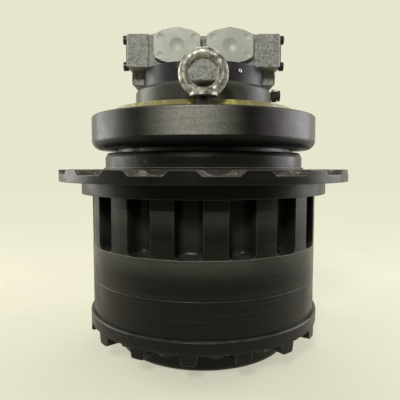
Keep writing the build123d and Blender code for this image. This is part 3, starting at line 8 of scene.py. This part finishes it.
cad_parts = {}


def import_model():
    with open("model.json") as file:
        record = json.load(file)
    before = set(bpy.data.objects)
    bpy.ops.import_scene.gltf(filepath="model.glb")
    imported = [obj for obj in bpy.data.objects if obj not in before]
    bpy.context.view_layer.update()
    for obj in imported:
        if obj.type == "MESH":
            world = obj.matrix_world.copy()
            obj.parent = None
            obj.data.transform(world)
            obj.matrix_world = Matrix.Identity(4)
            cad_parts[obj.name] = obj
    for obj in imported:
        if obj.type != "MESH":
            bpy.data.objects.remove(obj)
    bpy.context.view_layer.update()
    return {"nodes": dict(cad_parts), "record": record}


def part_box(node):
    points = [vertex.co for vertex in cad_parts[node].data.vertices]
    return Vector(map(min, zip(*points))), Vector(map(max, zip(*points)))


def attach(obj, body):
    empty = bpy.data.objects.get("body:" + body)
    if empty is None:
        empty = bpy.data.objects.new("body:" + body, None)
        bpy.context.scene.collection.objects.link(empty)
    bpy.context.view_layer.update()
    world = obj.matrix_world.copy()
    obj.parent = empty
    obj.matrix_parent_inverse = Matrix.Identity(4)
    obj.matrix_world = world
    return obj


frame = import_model()
nodes = frame["nodes"]
scene = bpy.context.scene
scene.view_settings.view_transform = "Standard"

# Places that the frame gives, in metres
MM = 0.001
frame_bolts = next(mount for mount in frame["record"]["mounts"] if mount["name"] == "frame_bolts")
frame_face = frame_bolts["pos_m"][2]
frame_circle = frame_bolts["dims"]["pcd_mm"] * MM / 2
frame_holes = frame_bolts["dims"]["count"]
hole_radius = frame_bolts["dims"]["hole_r_mm"] * MM
cover_radius = float(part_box("motor_cover")[1][0])
case_top = float(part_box("spindle")[1][2])

# Camera: fitted to the photograph
CAMERA_PLACE = (0.0, -0.979, 0.3954)
CAMERA_PITCH = math.radians(85.6)
CAMERA_LENS = 38.07
CAMERA_SHIFT = -0.00875
CAMERA_REACH = 50.0

# Colours, linear
BLACK = (0.0062, 0.0056, 0.0045)
BLACK_WARM = (0.0095, 0.0080, 0.0058)
BLACK_VIOLET = (0.0115, 0.0098, 0.0125)
MOTOR_BLACK = (0.050, 0.0475, 0.050)
CAST_GREY = (0.36, 0.365, 0.33)
CAST_DARK = (0.10, 0.10, 0.092)
CAP_GREY = (0.385, 0.40, 0.335)
CAP_PALE = (0.45, 0.47, 0.395)
DUST = (0.16, 0.15, 0.13)
BARE_EDGE = (0.34, 0.33, 0.29)
BARE_FACE = (0.46, 0.44, 0.38)
FILM_YELLOW = (0.62, 0.58, 0.115)
FILM_OLIVE = (0.20, 0.185, 0.075)
FILM_BEIGE = (0.33, 0.29, 0.23)
# Pale grey and violet that stand in for reflected light on the frame flange
REFLECTION_GREY = (0.33, 0.33, 0.285)
SHEEN_VIOLET = (0.165, 0.151, 0.162)
# Pale grey of the painted sheens that stand in for light on the hub and motor ring
SHEEN_GREY = (0.33, 0.345, 0.29)
EYE_STEEL = (0.50, 0.49, 0.415)
EYE_DARK = (0.075, 0.072, 0.062)
STEEL = (0.50, 0.50, 0.49)
STEEL_DARK = (0.32, 0.32, 0.32)
BRONZE = (0.48, 0.32, 0.14)
BRONZE_DARK = (0.30, 0.19, 0.08)
IRON = (0.16, 0.155, 0.15)
IRON_DARK = (0.075, 0.072, 0.07)
RUBBER = (0.012, 0.012, 0.012)
LINING = (0.14, 0.10, 0.06)
FLOOR_PALE = (0.23, 0.223, 0.187)
FLOOR_FAR = (0.035, 0.034, 0.029)
WALL_PALE = (0.80, 0.785, 0.615)

# Zones of the materials: inner and outer radius, lowest and highest point, in metres
NOTCH_FACES = (0.266, 0.3165, 0.3805, 0.3906)
HUB_NECK = (0.19, 0.222, 0.3915, 0.428)
DRUM_SKIN = (0.2475, 0.2497)
RIB_FRONTS = (*DRUM_SKIN, 0.268, 0.3184)
DRUM_BAND = (*DRUM_SKIN, 0.185, 0.2312)
POCKET_LINE = (*DRUM_SKIN, 0.2296, 0.2320)
POCKET_WALLS = (0.19, 0.2468, 0.15, 0.3184)
PILOT_FACE = (0.1525, 0.1985, 0.5041, 0.53)
FLANGE_FACE = (0.1985, 0.244, 0.5035, 0.5045)
FLANGE_RIM = (0.2455, 0.26, 0.452, 0.502)
MOTOR_RING = (0.10, 0.1535, 0.42, 0.5657)
COVER_RING = (-1.0, 0.1362, 0.5655, 0.62)
ZONE_SOFT = 0.0006
# Foot height of the lifting eyes, below which they carry a painted shadow
EYE_FOOT = 0.5203
EYE_FOOT_SOFT = (-0.0004, 0.0012)

# Painted reflection on the front of the frame flange, and the painted violet sheen on its right, in metres
REFLECTION_DEPTH = (-0.19, -0.12)
REFLECTION_WIDTH = (0.006, 0.105)
REFLECTION_MIDDLE = 0.020
SHEEN_PLACE = (0.085, 0.155)

# Rounding of edges and height of bumps in the materials, in metres
PAINT_ROUND = 0.0011
HUB_ROUND = 0.0014
COVER_ROUND = 0.0017
CAST_ROUND = 0.0016
CAP_ROUND = 0.0018
METAL_ROUND = 0.0008
EYE_ROUND = 0.0015
PAINT_RIPPLE = 0.00022
PAINT_GRAIN = 0.00006
CAST_LUMPS = 0.0022
CAP_WAVES = 0.0003
CAP_GRAIN = 0.00003
METAL_MARKS = 0.00002
EYE_DENTS = 0.0007
EYE_PITS = 0.0004
RUBBER_GRAIN = 0.00005

# How strongly each coat, painted reflection and painted sheen covers, and how metallic the bare places are
DUST_SHARE = 0.25
DEEP_SHARE = 0.85
REFLECTION_SHARE = 0.85
SHEEN_SHARE = 0.6
BARE_METAL = 0.55
EYE_METAL = 0.45

# Small pieces: sizes in metres, angles in radians, and numbers of steps
SMOOTH_ANGLE = math.radians(35)
# Dark ring that stands in for the shade line at the foot of the motor cover: its gap and steps
SHADE_RING_GAP = math.radians(14.3)
SHADE_RING_STEPS = 180
THREAD_PITCH = 0.0025
THREAD_DEPTH = 0.0011
THREAD_ROOT = 0.00005
THREAD_START = 0.0012
THREAD_TURNS = 14
THREAD_STEPS = 24
PLUG_ANGLE = math.radians(-57.5)
PLUG_HEIGHT = 0.0238
PLUG_SINK = 0.0001
PLUG_STEPS = 30

# Room light: strength in front of the object, how far round it reaches, and the share for glossy rays
FRONT_FROM = -0.8
FRONT_TO = 0.15
FRONT_LEVEL = 0.08
GLOSSY_SHARE = 0.12

# Floor: its size in metres, and how its glow and colour change with depth and distance
FLOOR_HALF = 6.0
FLOOR_DROP = 0.0005
FLOOR_GLOW = 0.585
FAR_GLOW = 0.92
FLOOR_FROM = -1.0
FLOOR_TO = 0.0
FLOOR_NEAR = 0.9
FLOOR_END = 1.9

# Lamps: name, place, target, size, power, colour
LAMPS = [
    ("key", (-0.38, -2.0, 1.6), (0.0, -0.2, 0.4), 0.35, 35.0, (1.0, 0.985, 0.95)),
    ("left", (-2.0, 0.5, 0.9), (0.0, 0.0, 0.35), 1.3, 30.0, (1.0, 0.985, 0.93)),
    ("right", (2.0, 0.35, 0.9), (0.0, 0.0, 0.35), 1.3, 30.0, (0.97, 0.95, 1.0)),
    ("back", (0.2, 1.8, 2.0), (0.0, 0.0, 0.4), 1.2, 20.0, (1.0, 1.0, 1.0)),
]


class Graph:
    """Short calls for building one material's nodes."""

    def __init__(self, name):
        self.material = bpy.data.materials.new(name)
        self.material.use_nodes = True
        self.tree = self.material.node_tree
        self.tree.nodes.clear()
        self.out = self.add("ShaderNodeOutputMaterial")
        self.coords = self.add("ShaderNodeTexCoord").outputs["Object"]

    def add(self, kind, inputs=None, **settings):
        """One node, with plain values or other nodes' outputs on its inputs."""
        made = self.tree.nodes.new(kind)
        for key, value in settings.items():
            setattr(made, key, value)
        for key, value in (inputs or {}).items():
            if isinstance(value, bpy.types.NodeSocket):
                self.tree.links.new(value, made.inputs[key])
            else:
                made.inputs[key].default_value = value
        return made

    def axis(self, letter):
        """One of the object coordinates."""
        return self.add("ShaderNodeSeparateXYZ", {0: self.coords}).outputs[letter]

    def maths(self, operation, first, second=0.0):
        return self.add("ShaderNodeMath", {0: first, 1: second}, operation=operation).outputs[0]

    def product(self, first, *others):
        """All values multiplied."""
        for other in others:
            first = self.maths("MULTIPLY", first, other)
        return first

    def noise(self, scale, detail=4.0, rough=0.55, vector=None, distortion=0.0):
        inputs = {
            "Vector": vector or self.coords,
            "Scale": scale,
            "Detail": detail,
            "Roughness": rough,
            "Distortion": distortion,
        }
        return self.add("ShaderNodeTexNoise", inputs).outputs["Fac"]

    def stretch(self, scale):
        """Object coordinates stretched along the axes, for brushed or turned marks."""
        return self.add("ShaderNodeMapping", {"Vector": self.coords, "Scale": scale}).outputs[0]

    def span(self, value, low, high, out_low=0.0, out_high=1.0):
        """Value mapped smoothly from one range to another and held there."""
        inputs = {0: value, 1: low, 2: high, 3: out_low, 4: out_high}
        made = self.add("ShaderNodeMapRange", inputs, clamp=True, interpolation_type="SMOOTHSTEP")
        return made.outputs[0]

    def mix(self, factor, first, second):
        """Blend of two colours."""
        made = self.add("ShaderNodeMix", {0: factor}, data_type="RGBA")
        for index, value in ((6, first), (7, second)):
            if isinstance(value, bpy.types.NodeSocket):
                self.tree.links.new(value, made.inputs[index])
            else:
                made.inputs[index].default_value = (*value, 1.0)
        return made.outputs[2]

    def edge(self, radius):
        """Rounded normal and a mask that is 1 along sharp edges."""
        bevel = self.add("ShaderNodeBevel", {"Radius": radius}, samples=6)
        true = self.add("ShaderNodeNewGeometry").outputs["Normal"]
        dot = self.add("ShaderNodeVectorMath", {0: bevel.outputs[0], 1: true}, operation="DOT_PRODUCT")
        away = self.maths("SUBTRACT", 1.0, dot.outputs["Value"])
        return bevel.outputs[0], self.span(away, 0.02, 0.25)

    def up(self, low=0.35, high=0.95):
        """Mask of faces that look upwards."""
        normal = self.add("ShaderNodeNewGeometry").outputs["Normal"]
        height = self.add("ShaderNodeSeparateXYZ", {0: normal}).outputs["Z"]
        return self.span(height, low, high)

    def bump(self, height, distance, normal=None):
        """Normal raised by a height, on top of another normal if one is given."""
        inputs = {"Height": height, "Distance": distance}
        if normal is not None:
            inputs["Normal"] = normal
        return self.add("ShaderNodeBump", inputs).outputs[0]

    def zone(self, inner, outer, low, high):
        """Mask of what lies between two radii and two heights."""
        split = self.add("ShaderNodeSeparateXYZ", {0: self.coords}).outputs
        flat = self.add("ShaderNodeCombineXYZ", {"X": split["X"], "Y": split["Y"]}).outputs[0]
        radius = self.add("ShaderNodeVectorMath", {0: flat}, operation="LENGTH").outputs["Value"]
        return self.product(
            self.span(radius, inner - ZONE_SOFT, inner + ZONE_SOFT),
            self.span(radius, outer - ZONE_SOFT, outer + ZONE_SOFT, 1.0, 0.0),
            self.span(split["Z"], high - ZONE_SOFT, high + ZONE_SOFT, 1.0, 0.0),
            self.span(split["Z"], low - ZONE_SOFT, low + ZONE_SOFT),
        )

    def finish(self, **inputs):
        """Principled shader with these inputs, by name with underscores for spaces."""
        named = {key.replace("_", " "): value for key, value in inputs.items()}
        shader = self.add("ShaderNodeBsdfPrincipled", named)
        self.tree.links.new(shader.outputs[0], self.out.inputs["Surface"])
        return self.material


def cloudy(g):
    """Large soft patches of a painted piece."""
    return g.span(g.noise(7.0, 5.0, 0.6, distortion=0.4), 0.35, 0.68)


def deepen(g, colour, zone):
    """Blacker paint."""
    return g.mix(g.product(g.zone(*zone), DEEP_SHARE), colour, BLACK_VIOLET)


def painted_sheen(g, colour, zone, amount):
    """Painted sheen: pale grey that stands in for light from above, strongest at the top of its zone."""
    low, high = zone[2:]
    fade = g.product(g.zone(*zone), g.span(g.axis("Z"), low, high, 0.0, amount))
    return g.mix(g.product(fade, g.span(cloudy(g), 0.0, 1.0, 0.7, 1.0)), colour, SHEEN_GREY)


def painted_reflection(g, colour, zone):
    """Painted reflection in the middle of the front, broken by streaks and grain, and a painted violet
    sheen on the right.
    """
    mask = g.zone(*zone)
    front = g.span(g.axis("Y"), *REFLECTION_DEPTH, 1.0, 0.0)
    beside = g.maths("ABSOLUTE", g.maths("ADD", g.axis("X"), REFLECTION_MIDDLE))
    middle = g.span(beside, *REFLECTION_WIDTH, 1.0, 0.0)
    lines = g.noise(1.0, 4.0, 0.6, vector=g.stretch((10.0, 10.0, 150.0)))
    grain = g.noise(240.0, 3.0, 0.6)
    both = g.maths("ADD", g.product(lines, 0.4), g.product(grain, 0.6))
    broken = g.span(both, 0.36, 0.66, 0.62, 1.05)
    colour = g.mix(g.product(front, middle, broken, mask, REFLECTION_SHARE), colour, REFLECTION_GREY)
    patches = g.span(g.noise(11.0, 4.0, 0.6), 0.3, 0.6, 0.55, 1.0)
    # Painted sheen: violet patches on the right of the frame flange
    bloom = g.product(g.span(g.axis("X"), *SHEEN_PLACE), patches, mask, SHEEN_SHARE)
    return g.mix(bloom, colour, SHEEN_VIOLET)


def scratch_and_glint(g, colour, zone):
    """Spot faces that look up, paler in broken patches: partly scratches, partly a painted reflection of
    the light from above.
    """
    worn = g.span(g.noise(85.0, 5.0, 0.7, distortion=0.8), 0.46, 0.66, 0.12, 0.75)
    return g.mix(g.product(g.zone(*zone), g.up(0.15, 0.6), worn), colour, BARE_EDGE)


def grease(g, colour, zone):
    """Yellow film of grease, olive and beige in patches."""
    patch = g.span(g.noise(13.0, 5.0, 0.62, distortion=0.5), 0.45, 0.62)
    coat = g.mix(patch, FILM_OLIVE, FILM_YELLOW)
    thin = g.span(g.noise(21.0, 5.0, 0.7, distortion=0.6), 0.5, 0.66)
    return g.mix(g.zone(*zone), colour, g.mix(thin, coat, FILM_BEIGE))


def chip(g, colour, zone):
    """Small chips in clusters."""
    cluster = g.product(g.zone(*zone), g.span(g.noise(13.0, 3.0, 0.6), 0.56, 0.66))
    flakes = g.span(g.noise(330.0, 4.0, 0.7, distortion=0.5), 0.6, 0.64)
    return g.mix(g.product(cluster, flakes), colour, BARE_EDGE)


def paint(name, base, tint, rough=0.34, specular=0.2, wear_and_highlight=0.5, bevel=PAINT_ROUND, layers=(), bare=None):
    """Black paint over machined or cast metal: mottled, dusty on top, pale along its edges, partly as worn
    paint and partly as a painted edge highlight.

    A layer is one of the functions above, its zone and what else it takes. A bare zone has no paint.
    """
    g = Graph(name)
    rounded, edge = g.edge(bevel)
    colour = g.mix(cloudy(g), base, tint)
    specks = g.span(g.noise(520.0, 3.0, 0.7), 0.66, 0.76, 0.0, 0.22)
    colour = g.mix(specks, colour, DUST)
    marks = g.noise(1.0, 4.0, 0.6, vector=g.stretch((2.5, 2.5, 240.0)))
    colour = g.mix(g.span(marks, 0.5, 0.8, 0.0, 0.09), colour, DUST)
    settled = g.product(g.up(), g.span(g.noise(38.0, 6.0, 0.65), 0.35, 0.75, 0.25, 1.0))
    colour = g.mix(g.product(settled, DUST_SHARE), colour, DUST)
    for lay, *details in layers:
        colour = lay(g, colour, *details)
    metallic = 0.0
    if bare:
        mask = g.zone(*bare)
        stain = g.span(g.noise(24.0, 5.0, 0.65, distortion=0.4), 0.4, 0.7, 0.0, 0.5)
        colour = g.mix(mask, colour, g.mix(stain, BARE_FACE, EYE_DARK))
        metallic = g.product(mask, BARE_METAL)
    # Pale broken lines along the edges: partly worn paint, partly a painted edge highlight
    chips_and_highlight = g.product(edge, g.span(g.noise(75.0, 4.0, 0.65), 0.36, 0.6, 0.3, 1.0))
    colour = g.mix(g.product(chips_and_highlight, wear_and_highlight), colour, BARE_EDGE)
    normal = g.bump(g.noise(170.0, 3.0, 0.6, distortion=0.3), PAINT_RIPPLE, rounded)
    normal = g.bump(g.noise(900.0, 2.0, 0.5), PAINT_GRAIN, normal)
    roughness = g.span(g.noise(19.0, 5.0, 0.6), 0.3, 0.7, rough - 0.07, rough + 0.09)
    return g.finish(
        Base_Color=colour,
        Metallic=metallic,
        Roughness=roughness,
        Specular_IOR_Level=specular,
        Normal=normal,
    )


def casting(name, base, dark, rough, grain):
    """Sand-cast surface under paint: rough lumps, with painted shade darkening the hollows."""
    g = Graph(name)
    rounded, edge = g.edge(CAST_ROUND)
    lumps = g.noise(grain, 6.0, 0.66, distortion=0.9)
    pits = g.noise(grain * 3.1, 4.0, 0.6)
    height = g.maths("ADD", lumps, g.product(pits, 0.45))
    # Painted shade: the hollows between the lumps are darker
    colour = g.mix(g.span(height, 0.52, 0.82), dark, base)
    colour = g.mix(g.product(edge, 0.5), colour, BARE_EDGE)
    colour = g.mix(g.product(g.up(), 0.25), colour, DUST)
    normal = g.bump(height, CAST_LUMPS, rounded)
    roughness = g.span(lumps, 0.3, 0.7, rough - 0.08, rough + 0.1)
    return g.finish(Base_Color=colour, Roughness=roughness, Specular_IOR_Level=0.4, Normal=normal)


def moulded(name, base, pale, rough):
    """Smooth moulded plastic with a faint bloom, specks and shallow waves."""
    g = Graph(name)
    rounded, edge = g.edge(CAP_ROUND)
    bloom = g.span(g.noise(22.0, 5.0, 0.6, distortion=0.6), 0.35, 0.7)
    colour = g.mix(bloom, base, pale)
    colour = g.mix(g.span(g.noise(300.0, 3.0, 0.6), 0.66, 0.76, 0.0, 0.4), colour, CAST_DARK)
    colour = g.mix(g.product(edge, 0.25), colour, BARE_EDGE)
    normal = g.bump(g.noise(60.0, 3.0, 0.5), CAP_WAVES, rounded)
    normal = g.bump(g.noise(1100.0, 2.0, 0.5), CAP_GRAIN, normal)
    roughness = g.span(g.noise(30.0, 5.0, 0.6), 0.3, 0.7, rough - 0.08, rough + 0.08)
    return g.finish(Base_Color=colour, Roughness=roughness, Specular_IOR_Level=0.4, Normal=normal)


def metal(name, base, dark, rough, turned=True, metallic=0.9):
    """Bare metal with turned or plain marks, stains and brighter edges."""
    g = Graph(name)
    rounded, edge = g.edge(METAL_ROUND)
    stain = g.span(g.noise(14.0, 6.0, 0.65, distortion=0.5), 0.35, 0.7)
    colour = g.mix(stain, base, dark)
    colour = g.mix(g.product(edge, 0.5), colour, STEEL)
    if turned:
        marks = g.noise(1.0, 3.0, 0.6, vector=g.stretch((9.0, 9.0, 2600.0)))
    else:
        marks = g.noise(700.0, 4.0, 0.6)
    normal = g.bump(marks, METAL_MARKS, rounded)
    roughness = g.span(stain, 0.0, 1.0, rough - 0.06, rough + 0.12)
    return g.finish(Base_Color=colour, Metallic=metallic, Roughness=roughness, Normal=normal)


def forged(name, base, dark, rough, foot):
    """Worn forged steel of the lifting eyes: pitted, half dull, and black, matt and not metallic below the
    foot height, as a painted shadow under the collar.
    """
    g = Graph(name)
    rounded, edge = g.edge(EYE_ROUND)
    patches = g.span(g.noise(48.0, 7.0, 0.7, distortion=0.4), 0.38, 0.62)
    pits = g.noise(330.0, 5.0, 0.7)
    colour = g.mix(patches, dark, base)
    colour = g.mix(g.span(pits, 0.56, 0.72, 0.0, 0.7), colour, dark)
    colour = g.mix(g.product(edge, 0.4), colour, BARE_EDGE)
    below, above = EYE_FOOT_SOFT
    above_shadow = g.span(g.axis("Z"), foot + below, foot + above)
    # Painted shadow: black below the foot height
    colour = g.mix(above_shadow, BLACK_WARM, colour)
    normal = g.bump(g.noise(120.0, 5.0, 0.65), EYE_DENTS, rounded)
    normal = g.bump(pits, EYE_PITS, normal)
    worn = g.span(patches, 0.0, 1.0, rough + 0.12, rough - 0.08)
    roughness = g.maths("MAXIMUM", worn, g.span(above_shadow, 0.0, 1.0, 0.85, 0.0))
    metallic = g.product(above_shadow, EYE_METAL)
    return g.finish(Base_Color=colour, Metallic=metallic, Roughness=roughness, Normal=normal)


def soft(name, base, rough):
    """Moulded rubber or lining: matt, with a fine grain."""
    g = Graph(name)
    cloud = g.span(g.noise(35.0, 4.0, 0.6), 0.35, 0.7)
    colour = g.mix(cloud, base, [share * 1.5 for share in base])
    normal = g.bump(g.noise(1500.0, 3.0, 0.6), RUBBER_GRAIN)
    roughness = g.span(cloud, 0.0, 1.0, rough - 0.05, rough + 0.05)
    return g.finish(Base_Color=colour, Roughness=roughness, Normal=normal)


# Painted sheens on the rib fronts, drum band, pocket line and pocket walls stand in for light from above;
# the notch faces are partly scratched and partly a painted reflection; the neck chips are real
hub_layers = [
    (painted_sheen, RIB_FRONTS, 0.09),
    (painted_sheen, DRUM_BAND, 0.13),
    (painted_sheen, POCKET_LINE, 0.5),
    (painted_sheen, POCKET_WALLS, 0.05),
    (scratch_and_glint, NOTCH_FACES),
    (chip, HUB_NECK),
]
# Painted sheen on the motor ring and painted reflection on the frame flange rim; the grease film is real
spindle_layers = [(painted_sheen, MOTOR_RING, 0.13), (painted_reflection, FLANGE_RIM), (grease, PILOT_FACE)]
looks = {
    "hub_paint": paint("hub_paint", BLACK, BLACK_WARM, wear_and_highlight=0.95, bevel=HUB_ROUND, layers=hub_layers),
    "cover_paint": paint("cover_paint", BLACK, BLACK_WARM, wear_and_highlight=1.0, bevel=COVER_ROUND),
    "spindle_paint": paint(
        "spindle_paint", BLACK, BLACK_VIOLET, wear_and_highlight=0.4, layers=spindle_layers, bare=FLANGE_FACE
    ),
    "motor_paint": paint(
        "motor_paint", MOTOR_BLACK, BLACK_VIOLET, 0.42, 0.22, wear_and_highlight=0.7, layers=[(deepen, COVER_RING)]
    ),
    "cast_paint": casting("cast_paint", CAST_GREY, CAST_DARK, 0.5, 150.0),
    "port_cap": moulded("port_cap", CAP_GREY, CAP_PALE, 0.42),
    "bolt_steel": paint("bolt_steel", BLACK, BLACK_WARM, 0.36, 0.4),
    "eye_steel": forged("eye_steel", EYE_STEEL, EYE_DARK, 0.42, EYE_FOOT),
    "machined": metal("machined", STEEL, STEEL_DARK, 0.3),
    "gear_steel": metal("gear_steel", STEEL_DARK, IRON, 0.34, turned=False),
    "bronze": metal("bronze", BRONZE, BRONZE_DARK, 0.34),
    "iron": metal("iron", IRON, IRON_DARK, 0.45, turned=False, metallic=0.7),
    "rubber": soft("rubber", RUBBER, 0.6),
    "friction": soft("friction", LINING, 0.8),
}
slot_of = {row["node"]: row["material_slot"] for row in frame["record"]["subparts"]}
for name, obj in nodes.items():
    obj.data.materials.clear()
    obj.data.materials.append(looks[slot_of[name]])


def piece(name, mesh_data, body, slot):
    """New object from a bmesh, on a body, with a slot's look."""
    mesh = bpy.data.meshes.new(name)
    bmesh.ops.recalc_face_normals(mesh_data, faces=mesh_data.faces)
    mesh_data.to_mesh(mesh)
    mesh_data.free()
    mesh.shade_smooth()
    mesh.set_sharp_from_angle(angle=SMOOTH_ANGLE)
    obj = bpy.data.objects.new(name, mesh)
    scene.collection.objects.link(obj)
    mesh.materials.append(looks[slot])
    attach(obj, body)


def skin(target, rings):
    """Faces between rings of points, each ring closed on itself, with both ends capped."""
    rows = [[target.verts.new(point) for point in ring] for ring in rings]
    for first, second in zip(rows, rows[1:]):
        for index in range(len(first)):
            after = (index + 1) % len(first)
            target.faces.new((first[index], first[after], second[after], second[index]))
    target.faces.new(rows[0])
    target.faces.new(list(reversed(rows[-1])))


def polar(radius, angle, height):
    """Point from a radius, an angle in radians and a height."""
    return Vector((radius * math.cos(angle), radius * math.sin(angle), height))


def cover_shade_ring():
    """Thin black rubber ring round the foot of the motor cover, a dark piece that stands in for the shade
    line where the cover meets the motor ring; broken by the block's front leg.
    """
    outline = [(0.0, 0.0), (0.0028, 0.0), (0.0032, 0.0008), (0.0027, 0.0025), (0.0, 0.0028)]
    section = [(cover_radius + out, case_top + up) for out, up in outline]
    start, sweep = SHADE_RING_GAP - math.pi / 2, 2 * (math.pi - SHADE_RING_GAP)
    turns = [start + sweep * step / SHADE_RING_STEPS for step in range(SHADE_RING_STEPS + 1)]
    body = bmesh.new()
    skin(body, [[polar(radius, turn, height) for radius, height in section] for turn in turns])
    piece("motor_cover_shade_ring", body, "root", "rubber")


def hole_threads():
    """Threads that show inside the tapped holes of the frame flange.

    A point of their section is a radius and how far down it lies, as a share of the pitch.
    """
    wall, crest = hole_radius - THREAD_ROOT, hole_radius - THREAD_DEPTH
    section = [(wall, 0.0), (crest, 0.4), (wall, 0.8)]
    body = bmesh.new()
    for hole in range(frame_holes):
        middle = polar(frame_circle, 2 * math.pi * (hole + 0.5) / frame_holes, 0.0)
        rings = []
        for step in range(THREAD_TURNS * THREAD_STEPS + 1):
            turn = 2 * math.pi * step / THREAD_STEPS
            height = frame_face - THREAD_START - THREAD_PITCH * step / THREAD_STEPS
            ring = [middle + polar(radius, turn, height - THREAD_PITCH * drop) for radius, drop in section]
            rings.append(ring)
        skin(body, rings)
    piece("frame_hole_threads", body, "root", "machined")


def bright_plug():
    """Small bright plug on the side of the motor cover."""
    place = (
        Matrix.Translation(polar(cover_radius - PLUG_SINK, PLUG_ANGLE, case_top + PLUG_HEIGHT))
        @ Matrix.Rotation(PLUG_ANGLE, 4, "Z")
        @ Matrix.Rotation(math.pi / 2, 4, "Y")
    )
    profile = [
        (0.0046, 0.0),
        (0.0046, 0.0014),
        (0.0038, 0.0023),
        (0.0026, 0.0025),
        (0.0022, 0.0012),
        (0.0004, 0.0009),
    ]
    turns = [2 * math.pi * step / PLUG_STEPS for step in range(PLUG_STEPS)]
    body = bmesh.new()
    skin(body, [[place @ polar(radius, turn, height) for turn in turns] for radius, height in profile])
    piece("motor_cover_plug", body, "root", "machined")


cover_shade_ring()
hole_threads()
bright_plug()


def add_camera():
    """Camera at the photograph's place."""
    data = bpy.data.cameras.new("camera")
    data.lens = CAMERA_LENS
    data.shift_x = CAMERA_SHIFT
    data.clip_end = CAMERA_REACH
    camera = bpy.data.objects.new("camera", data)
    camera.location = CAMERA_PLACE
    camera.rotation_euler = (CAMERA_PITCH, 0.0, 0.0)
    scene.collection.objects.link(camera)
    scene.camera = camera


def lamp(name, place, target, size, power, colour):
    """Square area lamp that looks at a point."""
    data = bpy.data.lights.new(name, "AREA")
    data.shape = "SQUARE"
    data.size = size
    data.energy = power
    data.color = colour
    obj = bpy.data.objects.new(name, data)
    obj.location = place
    obj.rotation_euler = (Vector(target) - Vector(place)).to_track_quat("-Z", "Y").to_euler()
    scene.collection.objects.link(obj)


def background_seen(tree, share):
    """How much of the pale background a ray sees: all for camera and clear rays, a share for glossy."""
    path = tree.nodes.new("ShaderNodeLightPath")
    clear = tree.nodes.new("ShaderNodeMath")
    clear.operation = "MAXIMUM"
    tree.links.new(path.outputs["Is Camera Ray"], clear.inputs[0])
    tree.links.new(path.outputs["Is Transmission Ray"], clear.inputs[1])
    both = tree.nodes.new("ShaderNodeMath")
    both.operation = "MULTIPLY_ADD"
    both.use_clamp = True
    if isinstance(share, bpy.types.NodeSocket):
        tree.links.new(share, both.inputs[1])
    else:
        both.inputs[1].default_value = share
    tree.links.new(path.outputs["Is Glossy Ray"], both.inputs[0])
    tree.links.new(clear.outputs[0], both.inputs[2])
    return both.outputs[0]


def world():
    """Pale room that is darker in front of the object, seen by the camera as a plain pale wall."""
    made = bpy.data.worlds.new("world")
    scene.world = made
    made.use_nodes = True
    tree = made.node_tree
    tree.nodes.clear()
    out = tree.nodes.new("ShaderNodeOutputWorld")
    background = tree.nodes.new("ShaderNodeBackground")
    background.inputs["Color"].default_value = (*WALL_PALE, 1.0)
    tree.links.new(background.outputs[0], out.inputs["Surface"])
    place = tree.nodes.new("ShaderNodeTexCoord")
    split = tree.nodes.new("ShaderNodeSeparateXYZ")
    tree.links.new(place.outputs["Generated"], split.inputs[0])
    depth = tree.nodes.new("ShaderNodeMapRange")
    depth.interpolation_type = "SMOOTHSTEP"
    for index, value in ((1, FRONT_FROM), (2, FRONT_TO), (3, FRONT_LEVEL), (4, 1.0)):
        depth.inputs[index].default_value = value
    tree.links.new(split.outputs["Y"], depth.inputs[0])
    level = tree.nodes.new("ShaderNodeMix")
    level.data_type = "FLOAT"
    level.inputs[3].default_value = 1.0
    tree.links.new(background_seen(tree, GLOSSY_SHARE), level.inputs[0])
    tree.links.new(depth.outputs[0], level.inputs[2])
    tree.links.new(level.outputs[0], background.inputs["Strength"])


def floor():
    """Wide pale floor under the end cover, which keeps its shadow and looks as pale as the wall."""
    mesh = bpy.data.meshes.new("floor")
    sides = [(-1, -1), (1, -1), (1, 1), (-1, 1)]
    corners = [(FLOOR_HALF * across, FLOOR_HALF * along, -FLOOR_DROP) for across, along in sides]
    mesh.from_pydata(corners, [], [(0, 1, 2, 3)])
    obj = bpy.data.objects.new("floor", mesh)
    scene.collection.objects.link(obj)
    g = Graph("floor")
    colour = g.mix(g.span(g.noise(3.0, 4.0, 0.6), 0.3, 0.7, 0.0, 0.04), FLOOR_PALE, WALL_PALE)
    away = g.add("ShaderNodeVectorMath", {0: g.coords}, operation="LENGTH").outputs["Value"]
    colour = g.mix(g.span(away, FLOOR_NEAR, FLOOR_END), colour, FLOOR_FAR)
    seen = background_seen(g.tree, g.span(g.axis("Y"), FLOOR_FROM, FLOOR_TO, GLOSSY_SHARE, 1.0))
    glow = g.product(seen, g.span(away, FLOOR_NEAR, FLOOR_END, FLOOR_GLOW, FAR_GLOW))
    mesh.materials.append(
        g.finish(Base_Color=colour, Roughness=0.9, Emission_Color=(*WALL_PALE, 1.0), Emission_Strength=glow)
    )


add_camera()
for row in LAMPS:
    lamp(*row)
world()
floor()
